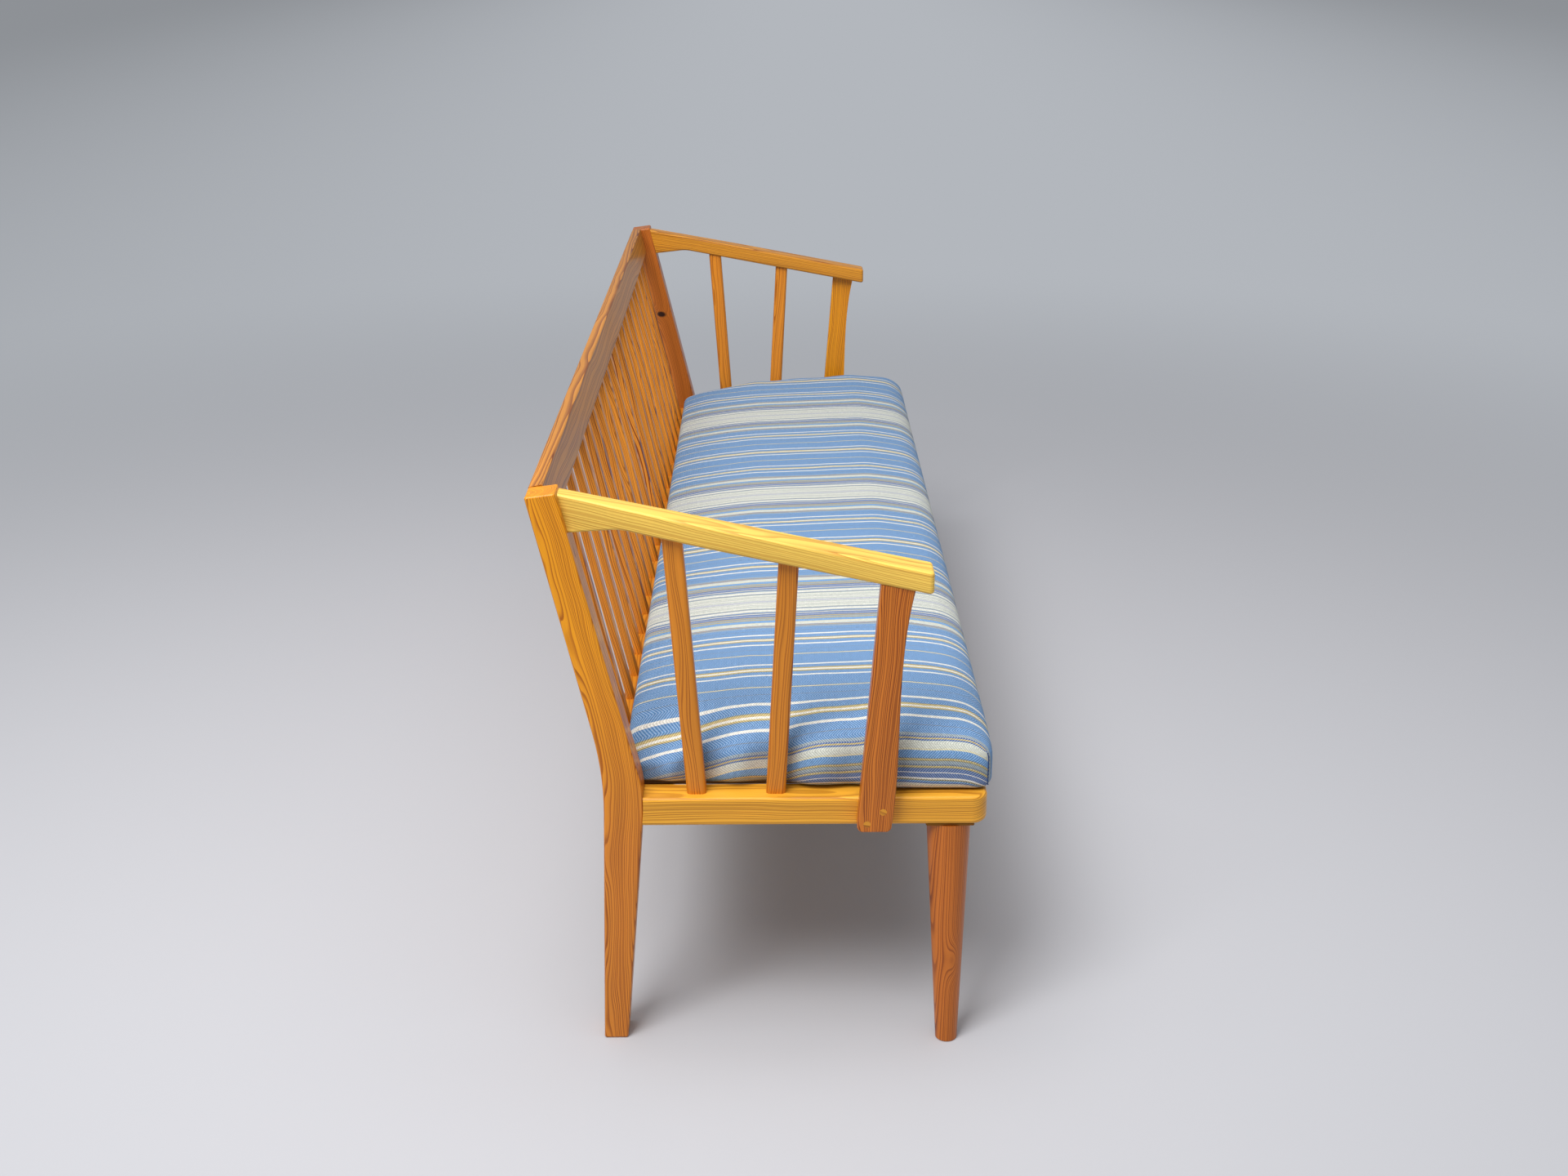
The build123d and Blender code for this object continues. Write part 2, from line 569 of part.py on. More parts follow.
def arm_post_tenon(mode, play=0.0, extra=0.0):
    """The tenon on top of the left arm post, or its mortise."""
    half_x = ARM_POST_TENON_THICK / 2 + play
    half_y = ARM_POST_TENON_WIDTH / 2 + play
    base_z = arm_bottom_z(ARM_POST_TENON_MID_Y)
    board(
        Plane.XY,
        (ARM_POST_MID_X - half_x, ARM_POST_MID_X + half_x),
        (ARM_POST_TENON_MID_Y - half_y, ARM_POST_TENON_MID_Y + half_y),
        (base_z - ARM_POST_TENON_WIDTH, base_z + ARM_POST_TENON + extra),
        mode,
    )


ARM_FLARE_START = (ARM_FLARE_Y, arm_bottom_z(ARM_FLARE_Y))
ARM_MIDDLE = (arm_inner_x(ARM_MID_Y) - ARM_MID_WIDTH, ARM_MID_Y)

with BuildPart() as arm_left:
    # seen from the end: the flared rear meets the post
    with BuildSketch(Plane.YZ.offset(ARM_INNER_FRONT_X - ARM_FRONT_WIDTH)) as arm_side:
        with BuildLine():
            Polyline(
                (ARM_FRONT_Y, ARM_FRONT_TOP_Z),
                (ARM_REAR_Y, arm_top_z(ARM_REAR_Y)),
                (ARM_REAR_Y, ARM_FLARE_START[1] - ARM_FLARE_DROP),
                ARM_FLARE_START,
                (ARM_FRONT_Y, arm_bottom_z(ARM_FRONT_Y)),
                close=True,
            )
        make_face()
        corner = arm_side.vertices().sort_by_distance(ARM_FLARE_START)[0]
        fillet(corner, radius=ARM_FLARE_RADIUS)
    extrude(amount=ARM_SWING + ARM_FRONT_WIDTH)
    # seen from above: the arm widens and swings outwards to the front
    with BuildSketch(Plane.XY.offset(arm_bottom_z(ARM_FRONT_Y))) as arm_plan:
        with BuildLine():
            Polyline(
                (ARM_INNER_FRONT_X, ARM_FRONT_Y),
                (-INNER_X, ARM_REAR_Y),
                (-INNER_X - ARM_REAR_WIDTH, ARM_REAR_Y),
                ARM_MIDDLE,
                (ARM_INNER_FRONT_X - ARM_FRONT_WIDTH, ARM_FRONT_Y),
                close=True,
            )
        make_face()
        fillet(arm_plan.vertices().sort_by_distance(ARM_MIDDLE)[0], radius=ARM_TAPER_RADIUS)
    extrude(amount=POST_TOP_Z, mode=Mode.INTERSECT)
    fillet(arm_left.faces().sort_by(Axis.Y)[0].edges().filter_by(Axis.Z), radius=ARM_CORNER)
    top_face = arm_left.faces().filter_by(lambda face: face.normal_at().Z > 0.9)[0]
    under_faces = arm_left.faces().filter_by(lambda face: face.normal_at().Z < -0.5)
    under_face = under_faces.sort_by(Axis.Y)[0]
    long_edges = top_face.edges().sort_by(Axis.Y)[:-1] + under_face.edges().sort_by(Axis.Y)[:-1]
    fillet(long_edges, radius=ARM_ARRIS)
    cut_to_post()
    board(Plane.XY, ARM_TENON_X, (ARM_TENON_BASE_Y - ARM_TENON_THICK, ARM_TENON_END_Y), ARM_TENON_Z)
    for end in SPINDLES:
        spindle_core(end, Mode.SUBTRACT, FIT, GLUE_ROOM)
    arm_post_tenon(Mode.SUBTRACT, FIT, GLUE_ROOM)
write(arm_left, "arm_left")
write_right(arm_left, "arm_right")

# ================================================================ spindles
for end in SPINDLES:
    foot_plane, spindle_run = spindle_plane(end)
    with BuildPart() as spindle:
        with BuildSketch(foot_plane.offset(-SPINDLE_WIDTH)):
            RectangleRounded(SPINDLE_THICK, SPINDLE_WIDTH, SPINDLE_ARRIS)
        extrude(amount=spindle_run + 2 * SPINDLE_WIDTH)
        split(bisect_by=Plane.XY.offset(RAIL_TOP_Z), keep=Keep.TOP)
        split(bisect_by=ARM_UNDERSIDE, keep=Keep.BOTTOM)
        spindle_core(end, Mode.ADD)
    write(spindle, f"{end}_spindle_left")
    write_right(spindle, f"{end}_spindle_right")

# ================================================================ arm posts
with BuildPart() as arm_post_left:
    with BuildSketch(Plane.YZ.offset(ARM_POST_OUTER_X)) as post_side:
        with BuildLine():
            foot_front = arm_post_edge(0, ARM_POST_FOOT_WIDTH)
            foot_back = arm_post_edge(0, 0)
            top_front = arm_post_edge(1, ARM_POST_TOP_WIDTH)
            top_back = arm_post_edge(1, 0)
            head = (0, ARM_THICK / 2)
            Spline(
                foot_front,
                arm_post_edge(ARM_POST_HIP, ARM_POST_HIP_WIDTH),
                arm_post_edge(ARM_POST_WAIST, ARM_POST_WAIST_WIDTH),
                top_front,
            )
            Polyline(top_front, Vector(*top_front) + head, Vector(*top_back) + head, foot_back)
            Line(foot_back, foot_front)
        make_face()
        for corner in (foot_front, foot_back):
            fillet(post_side.vertices().sort_by_distance(corner)[0], radius=ARM_POST_CORNER)
    extrude(amount=ARM_POST_THICK)
    fillet(arm_post_left.faces().sort_by(Axis.X)[0].edges(), radius=ARM_POST_ARRIS)
    split(bisect_by=ARM_UNDERSIDE, keep=Keep.BOTTOM)
    arm_post_tenon(Mode.ADD)
    with Locations(*ARM_SCREW_SPOTS):
        add(ARM_SCREW_HOLE, mode=Mode.SUBTRACT)
        add(PLUG_HOLE, mode=Mode.SUBTRACT)
write(arm_post_left, "arm_post_left")
write_right(arm_post_left, "arm_post_right")

with BuildPart() as arm_post_screws:
    with Locations(*ARM_SCREW_SPOTS):
        add(ARM_SCREW)
    mirror(arm_post_screws.part, about=Plane.YZ)
write(arm_post_screws, "arm_post_screws")

with BuildPart() as arm_post_plugs:
    with Locations(*ARM_SCREW_SPOTS):
        add(PLUG)
    mirror(arm_post_plugs.part, about=Plane.YZ)
write(arm_post_plugs, "arm_post_plugs")

# ================================================================ seat, fixed part
FIXED_SLAT_FRONT_Y = LIP_BACK_Y + FRONT_RAIL_LIP
FIXED_SLAT_BACK_Y = REAR_RAIL_FRONT_Y - GLUE_ROOM
MOVING_SLAT_FRONT_Y = FRONT_RAIL_BACK_Y + PASS_PLAY
MOVING_SLAT_BACK_Y = TIE_BACK_Y - GLUE_ROOM
LEDGER_MID_Y = (LEDGER_FRONT_Y + REAR_RAIL_FRONT_Y) / 2
BEARER_MID_Y = (BEARER_FRONT_Y + BEARER_BACK_Y) / 2
LIP_MID_Y = (FRONT_RAIL_BACK_Y + LIP_BACK_Y) / 2
TIE_MID_Y = (TIE_FRONT_Y + TIE_BACK_Y) / 2


def slat_screws(xs, y, top_z):
    """Places of one row of slat screws."""
    return [(x, y, top_z) for x in xs]


FIXED_TOP_Z = SEAT_Z + SEAT_SLAT_THICK
MOVING_TOP_Z = MOVING_SEAT_Z + SEAT_SLAT_THICK
LEDGER_SCREWS = slat_screws(FIXED_SLAT_X, LEDGER_MID_Y, FIXED_TOP_Z)
BEARER_SCREWS = slat_screws(FIXED_SLAT_X, BEARER_MID_Y, FIXED_TOP_Z)
LIP_SCREWS = slat_screws(MOVING_SLAT_X, LIP_MID_Y, MOVING_TOP_Z)
TIE_SCREWS = slat_screws(MOVING_SLAT_X, TIE_MID_Y, MOVING_TOP_Z)


def seat_slats(xs, y, z):
    """A row of seat slats, lying at height z."""
    for x in xs:
        board(
            Plane.XY,
            (x - SEAT_SLAT_WIDTH / 2, x + SEAT_SLAT_WIDTH / 2),
            y,
            (z, z + SEAT_SLAT_THICK),
        )


with BuildPart() as slat_ledger:
    ledger_z = (SEAT_Z - LEDGER_HEIGHT, SEAT_Z)
    ledger_x = (GLUE_ROOM - INNER_X, INNER_X - GLUE_ROOM)
    board(Plane.XY, ledger_x, (LEDGER_FRONT_Y, REAR_RAIL_FRONT_Y), ledger_z)
    with Locations(*LEDGER_SCREWS):
        add(SLAT_SCREW_HOLE, mode=Mode.SUBTRACT)
write(slat_ledger, "slat_ledger")

with BuildPart() as seat_bearer:
    bearer_y = (BEARER_FRONT_Y, BEARER_BACK_Y)
    between_runners = RUNNER_INNER_X - PASS_PLAY
    board(Plane.XY, (-between_runners, between_runners), bearer_y, (SEAT_Z - BEARER_HEIGHT, SEAT_Z))
    board(Plane.XY, (-FRAME_X, FRAME_X), bearer_y, (RUNNER_TOP_Z + SLIDE_PLAY, SEAT_Z))
    with Locations(*BEARER_SCREWS):
        add(SLAT_SCREW_HOLE, mode=Mode.SUBTRACT)
write(seat_bearer, "seat_bearer")

with BuildPart() as fixed_seat_slats:
    seat_slats(FIXED_SLAT_X, (FIXED_SLAT_FRONT_Y, FIXED_SLAT_BACK_Y), SEAT_Z)
    top_arrises = fixed_seat_slats.edges().filter_by(Axis.Y).group_by(Axis.Z)[-1]
    fillet(top_arrises, radius=SEAT_SLAT_ARRIS)
    with Locations(*LEDGER_SCREWS, *BEARER_SCREWS):
        add(SLAT_SCREW_HOLE, mode=Mode.SUBTRACT)
write(fixed_seat_slats, "fixed_seat_slats")

with BuildPart() as fixed_slat_screws:
    with Locations(*LEDGER_SCREWS, *BEARER_SCREWS):
        add(SLAT_SCREW)
write(fixed_slat_screws, "fixed_slat_screws")

# ================================================================ sliding frame
RUNNER_TENON_X = (-RUNNER_INNER_X - RUNNER_WIDTH * 2 / 3, -RUNNER_INNER_X - RUNNER_WIDTH / 6)
RUNNER_TENON_Z = (RUNNER_Z + RUNNER_HEIGHT / 5, RUNNER_TOP_Z - RUNNER_HEIGHT / 5)


def both_ends(span):
    """An X span on the left and its twin on the right."""
    return (span, (-span[1], -span[0]))


with BuildPart() as front_rail:
    front_rail_x = (STOP_GAP * 2 - INNER_X, INNER_X - STOP_GAP * 2)
    board(
        Plane.XY,
        front_rail_x,
        (RAIL_FRONT_Y, FRONT_RAIL_BACK_Y),
        (FRONT_RAIL_Z, RAIL_TOP_Z - PASS_PLAY),
    )
    fillet(front_rail.edges().filter_by(Axis.X), radius=CREST_ARRIS)
    lip_y = (FRONT_RAIL_BACK_Y - CREST_ARRIS, LIP_BACK_Y)
    board(Plane.XY, front_rail_x, lip_y, (FRONT_RAIL_Z, MOVING_SEAT_Z))
    for tenon_x in both_ends(RUNNER_TENON_X):
        board(
            Plane.XY,
            wider(tenon_x, FIT),
            (LIP_BACK_Y - RUNNER_TENON - GLUE_ROOM, LIP_BACK_Y),
            wider(RUNNER_TENON_Z, FIT),
            Mode.SUBTRACT,
        )
    with Locations(*LIP_SCREWS):
        add(SLAT_SCREW_HOLE, mode=Mode.SUBTRACT)
write(front_rail, "front_rail")

with BuildPart() as runner_left:
    runner_z = (RUNNER_Z, RUNNER_TOP_Z)
    board(Plane.XY, (-RUNNER_OUTER_X, -RUNNER_INNER_X), (LIP_BACK_Y, TIE_BACK_Y), runner_z)
    board(Plane.XY, RUNNER_TENON_X, (LIP_BACK_Y - RUNNER_TENON, LIP_BACK_Y), RUNNER_TENON_Z)
write(runner_left, "runner_left")
write_right(runner_left, "runner_right")

with BuildPart() as rear_tie:
    tie_y = (TIE_FRONT_Y, TIE_BACK_Y)
    board(Plane.XY, (-FRAME_X, FRAME_X), tie_y, (RUNNER_TOP_Z, MOVING_SEAT_Z))
    tie_z = (MOVING_SEAT_Z - TIE_HEIGHT, MOVING_SEAT_Z)
    board(Plane.XY, (-RUNNER_INNER_X, RUNNER_INNER_X), tie_y, tie_z)
    for slat_x in FIXED_SLAT_X:
        relief_half = SEAT_SLAT_WIDTH / 2 + FRAME_SIDE_GAP
        board(
            Plane.XY,
            (slat_x - relief_half, slat_x + relief_half),
            tie_y,
            (MOVING_SEAT_Z - TIE_RELIEF, MOVING_SEAT_Z),
            Mode.SUBTRACT,
        )
    with Locations(*TIE_SCREWS):
        add(SLAT_SCREW_HOLE, mode=Mode.SUBTRACT)
write(rear_tie, "rear_tie")

with BuildPart() as sliding_seat_slats:
    seat_slats(MOVING_SLAT_X, (MOVING_SLAT_FRONT_Y, MOVING_SLAT_BACK_Y), MOVING_SEAT_Z)
    top_arrises = sliding_seat_slats.edges().filter_by(Axis.Y).group_by(Axis.Z)[-1]
    fillet(top_arrises, radius=SEAT_SLAT_ARRIS)
    with Locations(*LIP_SCREWS, *TIE_SCREWS):
        add(SLAT_SCREW_HOLE, mode=Mode.SUBTRACT)
write(sliding_seat_slats, "sliding_seat_slats")

with BuildPart() as sliding_slat_screws:
    with Locations(*LIP_SCREWS, *TIE_SCREWS):
        add(SLAT_SCREW)
write(sliding_slat_screws, "sliding_slat_screws")

# ================================================================ legs and their fixings
BLOCK_TOP_Z = SEAT_Z - PASS_PLAY
PLATE_FRONT_Y = LEG_Y - PLATE_SIZE_Y / 2
PLATE_BACK_Y = LEG_Y + PLATE_SIZE_Y / 2
BLOCK_SCREW_X = (BLOCK_INNER_X + SCREW_EDGE, RUNNER_INNER_X - SCREW_EDGE)
BLOCK_SCREW_Y = (LIP_BACK_Y + SCREW_EDGE, PLATE_BACK_Y - SCREW_EDGE)
BLOCK_SCREW_SPOTS = [
    Plane(origin=(-x, y, PLATE_Z), x_dir=(1, 0, 0), z_dir=(0, 0, -1)).location
    for x in BLOCK_SCREW_X
    for y in BLOCK_SCREW_Y
]
LEG_SCREW_SPOTS = [
    (-LEG_X, LEG_Y - LEG_TOP_RADIUS / 2, FRONT_RAIL_Z),
    (-LEG_X, LEG_Y + LEG_TOP_RADIUS / 2, FRONT_RAIL_Z),
]

with BuildPart() as corner_block_left:
    block_y = (LIP_BACK_Y, BLOCK_BACK_Y)
    inboard = (PASS_PLAY - RUNNER_INNER_X, -BLOCK_INNER_X)
    board(Plane.XY, inboard, block_y, (FRONT_RAIL_Z, BLOCK_TOP_Z))
    board(Plane.XY, (-FRAME_X, -BLOCK_INNER_X), block_y, (FRONT_RAIL_Z, RUNNER_Z))
    with Locations(*BLOCK_SCREW_SPOTS):
        add(PLATE_SCREW_HOLE, mode=Mode.SUBTRACT)
write(corner_block_left, "corner_block_left")
write_right(corner_block_left, "corner_block_right")

with BuildPart() as leg_plate_left:
    plate_x = (-PLATE_OUTER_X, PLATE_SIZE_X - PLATE_OUTER_X)
    board(Plane.XY, plate_x, (PLATE_FRONT_Y, PLATE_BACK_Y), (PLATE_Z, FRONT_RAIL_Z))
    fillet(leg_plate_left.edges().filter_by(Axis.Z), radius=PLATE_THICK)
    with Locations(*BLOCK_SCREW_SPOTS, *LEG_SCREW_SPOTS):
        add(PLATE_SCREW_HOLE, mode=Mode.SUBTRACT)
write(leg_plate_left, "leg_plate_left")
write_right(leg_plate_left, "leg_plate_right")

with BuildPart() as leg_screws:
    with Locations(*BLOCK_SCREW_SPOTS, *LEG_SCREW_SPOTS):
        add(PLATE_SCREW)
    mirror(leg_screws.part, about=Plane.YZ)
write(leg_screws, "leg_screws")

with BuildPart() as front_leg_left:
    with BuildSketch(Plane.XY.offset(PLATE_Z)):
        with Locations((-LEG_X, LEG_Y)):
            Circle(LEG_TOP_RADIUS)
    with BuildSketch(Plane.XY):
        with Locations((-LEG_X - LEG_SPLAY_OUT, LEG_Y - LEG_SPLAY_FORWARD)):
            Circle(LEG_FOOT_RADIUS)
    loft()
    fillet(front_leg_left.faces().sort_by(Axis.Z)[0].edges(), radius=LEG_FOOT_ARRIS)
    with Locations(*LEG_SCREW_SPOTS):
        add(PLATE_SCREW_HOLE, mode=Mode.SUBTRACT)
write(front_leg_left, "front_leg_left")
write_right(front_leg_left, "front_leg_right")

# ================================================================ cushion
def cushion_plan(inset):
    """The cushion seen from above, drawn in on every side: wide before the spindles only."""
    front = (inset - CUSHION_FRONT_X, inset - DEPTH / 2)
    front_spindle, spindle_run = spindle_plane("front")
    spindle_front_y = front_spindle.origin.Y - FRONT_SPINDLE_FORWARD - SPINDLE_WIDTH / 2
    step_y = spindle_front_y - CUSHION_POST_GAP - inset
    side_x = inset - CUSHION_SIDE_X
    post_y = KNEE_FRONT[0] - CUSHION_POST_GAP - inset
    beside_post = inset - INNER_X + CUSHION_POST_GAP
    back_y = CUSHION_BACK_Y - inset
    with BuildSketch(Plane.XY) as plan:
        with BuildLine():
            Polyline(
                (0, front[1]),
                front,
                (front[0], step_y),
                (side_x, step_y),
                (side_x, post_y),
                (beside_post, post_y),
                (beside_post, back_y),
                (0, back_y),
                close=True,
            )
        make_face()
        fillet(plan.vertices().sort_by_distance(front)[0], radius=CUSHION_CORNER)
        mirror(about=Plane.YZ)
    return plan.sketch


def cushion_form(inset):
    """The cushion between the arms, drawn in on every side."""
    front_y = -DEPTH / 2 + inset
    back_y = CUSHION_BACK_Y - inset
    bottom_z = CUSHION_Z + inset
    half_x = CUSHION_FRONT_X - inset
    with BuildPart() as form:
        with BuildSketch(Plane.YZ.offset(-half_x)) as end_view:
            with BuildLine():
                front_top = (front_y, CUSHION_Z + CUSHION_FRONT_HEIGHT - inset)
                back_top = (back_y, CUSHION_Z + CUSHION_BACK_HEIGHT - inset)
                top = [(y - DEPTH / 2, CUSHION_Z + height - inset) for y, height in CUSHION_TOP]
                Spline(front_top, *top, back_top)
                Polyline(back_top, (back_y, bottom_z), (front_y, bottom_z), front_top)
            make_face()
            for corner in ((back_y, bottom_z), (front_y, bottom_z)):
                fillet(end_view.vertices().sort_by_distance(corner)[0], radius=CUSHION_EDGE)
        extrude(amount=2 * half_x)
        with BuildSketch(Plane.XZ.offset(-DEPTH)):
            with BuildLine():
                crown_z = CUSHION_Z + CUSHION_CROWN + CUSHION_EDGE - inset
                end_z = CUSHION_Z + CUSHION_END_HEIGHT - inset
                run_x = half_x - CUSHION_END_RUN
                end_left = (-half_x, end_z)
                end_right = (half_x, end_z)
                TangentArc((-run_x, crown_z), end_left, tangent=(-1, 0))
                Line((-run_x, crown_z), (run_x, crown_z))
                TangentArc((run_x, crown_z), end_right, tangent=(1, 0))
                Polyline(end_right, (half_x, bottom_z), (-half_x, bottom_z), end_left)
            make_face()
        extrude(amount=2 * DEPTH, mode=Mode.INTERSECT)
        extrude(cushion_plan(inset), amount=POST_TOP_Z, mode=Mode.INTERSECT)
    return form.part


with BuildPart() as cushion_cover:
    add(cushion_form(0))
    add(cushion_form(COVER_THICK), mode=Mode.SUBTRACT)
write(cushion_cover, "cushion_cover")

with BuildPart() as cushion_core:
    add(cushion_form(COVER_THICK + SLIDE_PLAY))
write(cushion_core, "cushion_core")
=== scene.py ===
"""The looks of a pull-out bench bed: lacquered pine, steel fixings and a striped cushion.

Every Blender object is in metres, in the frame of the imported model: X runs along the bench,
the sitting side faces -Y, and the floor is at Z = 0.
"""

import logging
import math
from dataclasses import dataclass
from enum import Enum
from typing import Any, Callable, NamedTuple, Sequence

import bpy
from mathutils import Matrix, Vector


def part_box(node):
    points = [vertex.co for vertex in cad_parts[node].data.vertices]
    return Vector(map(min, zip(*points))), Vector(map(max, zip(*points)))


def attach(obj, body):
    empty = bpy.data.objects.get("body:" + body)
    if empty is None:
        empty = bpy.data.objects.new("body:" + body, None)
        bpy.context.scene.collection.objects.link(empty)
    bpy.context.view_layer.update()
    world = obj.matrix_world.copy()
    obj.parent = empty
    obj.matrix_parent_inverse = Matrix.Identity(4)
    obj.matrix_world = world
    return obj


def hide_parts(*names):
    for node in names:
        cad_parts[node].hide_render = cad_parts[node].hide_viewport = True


Tree = bpy.types.NodeTree
Source = bpy.types.Node | bpy.types.NodeSocket
Span = tuple[float, float]
Place = tuple[float, float, float]

MM = 0.001
# the kinds of node that are used most
MATH = "ShaderNodeMath"
VECTOR = "ShaderNodeVectorMath"
MAP = "ShaderNodeMapRange"
MIX = "ShaderNodeMix"
NOISE = "ShaderNodeTexNoise"
CHANCE = "ShaderNodeTexWhiteNoise"
PRINCIPLED = "ShaderNodeBsdfPrincipled"

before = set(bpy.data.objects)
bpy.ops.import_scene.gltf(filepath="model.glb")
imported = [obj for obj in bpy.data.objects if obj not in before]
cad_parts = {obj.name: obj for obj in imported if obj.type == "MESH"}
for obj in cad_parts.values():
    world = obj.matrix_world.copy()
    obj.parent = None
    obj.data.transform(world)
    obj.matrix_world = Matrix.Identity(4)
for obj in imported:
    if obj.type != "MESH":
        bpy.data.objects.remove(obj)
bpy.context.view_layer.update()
log = logging.getLogger("bench_bed")


# ------------------------------------------------------------------ helpers
def linear(colour: str) -> tuple[float, float, float, float]:
    """Turn an sRGB hex colour into a linear one.

    Args:
        colour: The colour, such as "#c8862e".

    Returns:
        Linear red, green, blue and an alpha of 1.
    """
    channels = [int(colour[i : i + 2], 16) / 255 for i in (1, 3, 5)]
    curved = [c / 12.92 if c <= 0.04045 else ((c + 0.055) / 1.055) ** 2.4 for c in channels]
    return (curved[0], curved[1], curved[2], 1.0)


def add(
    tree: Tree, kind: str, inputs: dict[int | str, Any] | None = None, **settings: Any
) -> bpy.types.Node:
    """Add a node with its settings and links.

    Args:
        tree: The node tree that gets the node.
        kind: The node's type.
        inputs: For each input's index or name, a socket to link, a node whose first output is
            linked, or a plain value.
        settings: Properties of the node. "stops" fills a colour ramp.

    Returns:
        The new node.
    """
    node = tree.nodes.new(kind)
    stops = settings.pop("stops", ())
    for key, value in settings.items():
        setattr(node, key, value)
    if stops:
        node.color_ramp.elements.remove(node.color_ramp.elements[-1])
    for number, (place, colour) in enumerate(stops):
        stop = node.color_ramp.elements.new(place) if number else node.color_ramp.elements[0]
        stop.position = place
        stop.color = colour
    for key, value in (inputs or {}).items():
        if isinstance(value, bpy.types.Node):
            value = value.outputs[0]
        if isinstance(value, bpy.types.NodeSocket):
            tree.links.new(value, node.inputs[key])
        else:
            node.inputs[key].default_value = value
    return node


def put(name: str, data: bpy.types.ID) -> bpy.types.Object:
    """Put a new object into the scene.

    Args:
        name: Name of the object.
        data: Its mesh, light or camera.

    Returns:
        The object.
    """
    made = bpy.data.objects.new(name, data)
    bpy.context.scene.collection.objects.link(made)
    return made


def put_mesh(
    name: str, points: Sequence, edges: Sequence = (), faces: Sequence = ()
) -> bpy.types.Object:
    """Put a plain mesh into the scene as an object.

    Args:
        name: Name of the object and its mesh.
        points: The vertices.
        edges: Pairs of vertex numbers.
        faces: Rings of vertex numbers.

    Returns:
        The object.
    """
    mesh = bpy.data.meshes.new(name)
    mesh.from_pydata(points, edges, faces)
    return put(name, mesh)


def make_plain(
    piece: bpy.types.Object, modifier: bpy.types.Modifier, layers: bool = False
) -> None:
    """Turn what a modifier makes into a plain, smooth mesh.

    Args:
        piece: The object, which loses the modifier.
        modifier: Its one modifier.
        layers: Whether the mesh keeps all its data layers.
    """
    graph = bpy.context.evaluated_depsgraph_get()
    final = piece.evaluated_get(graph)
    mesh = bpy.data.meshes.new_from_object(
        final, preserve_all_data_layers=layers, depsgraph=graph
    )
    piece.modifiers.remove(modifier)
    piece.data = mesh
    for polygon in mesh.polygons:
        polygon.use_smooth = True


def smooth(share: float) -> float:
    """Ease a share from 0 to 1 with level ends."""
    share = min(max(share, 0.0), 1.0)
    return share * share * (3 - 2 * share)


# ------------------------------------------------------------------ finishes
@dataclass(frozen=True)
class Finish:
    """A finish, which is built as one material."""

    name: str

    def material(self) -> bpy.types.Material:
        """Build the material."""
        material = bpy.data.materials.new(self.name)
        material.use_nodes = True
        tree = material.node_tree
        tree.nodes.clear()
        add(tree, "ShaderNodeOutputMaterial", {0: self.shader(tree)})
        return material

    def shader(self, tree: Tree) -> Source:
        """Lay out the finish's own nodes.

        Args:
            tree: The material's nodes.

        Returns:
            The shader.
        """
        raise NotImplementedError

    def mottled(self, tree: Tree, colour: str, grain: float, spread: Span) -> Source:
        """Make a colour that varies a little from speck to speck.

        Args:
            tree: The material's nodes.
            colour: The colour in sRGB hex.
            grain: Size of a speck, in metres.
            spread: Darkest and lightest level.

        Returns:
            The varied colour.
        """
        here = add(tree, "ShaderNodeTexCoord").outputs["Object"]
        speck = add(tree, NOISE, {"Vector": here, "Scale": 1 / grain})
        level = add(tree, MAP, {"Value": speck, "To Min": spread[0], "To Max": spread[1]})
        shade = {0: linear(colour)[:3], "Scale": level}
        return add(tree, VECTOR, shade, operation="SCALE")


def dress(finish: Finish, *nodes: str) -> None:
    """Give CAD nodes one material.

    Args:
        finish: What the material is built from.
        nodes: Names of the CAD nodes.
    """
    material = finish.material()
    for node in nodes:
        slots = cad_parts[node].data.materials
        slots.clear()
        slots.append(material)
        log.info("dressed %s in %s", node, material.name)


class PineTone(Enum):
    """Early wood and late wood of the lacquered boards, as they have aged."""

    HONEY = ("#f3cb5c", "#c08129")
    GOLD = ("#f2ae34", "#9f5a10")
    TOFFEE = ("#da9328", "#8e4a0d")
    # a tone used only as painted shade towards the foot of a post
    AMBER = ("#ef9d15", "#9a4807")
    SHADED_COCOA = ("#db8529", "#823707")
    COPPER = ("#de8a24", "#9b4f0e")
    CHESTNUT = ("#c66f24", "#782f08")
    CARAMEL = ("#d37925", "#702803")
    UMBER = ("#c9832c", "#662206")
    RUSSET = ("#f2982b", "#762204")
    BARE = ("#dcbb8a", "#b58650")


@dataclass(frozen=True)
class Bend:
    """A board sawn to a bend, whose grain follows its back edge."""

    knee_z: float
    below: float
    above: float
    blend: float


@dataclass(frozen=True)
class Knot:
    """A place where the grain swells around a branch; a dark one shows the branch itself."""

    centre: Place
    width: float
    length: float
    depth: float
    dark: bool = False


class Spot(NamedTuple):
    """A point of a board: its distance along the grain and the vector across the grain."""

    along: Source
    across: Source


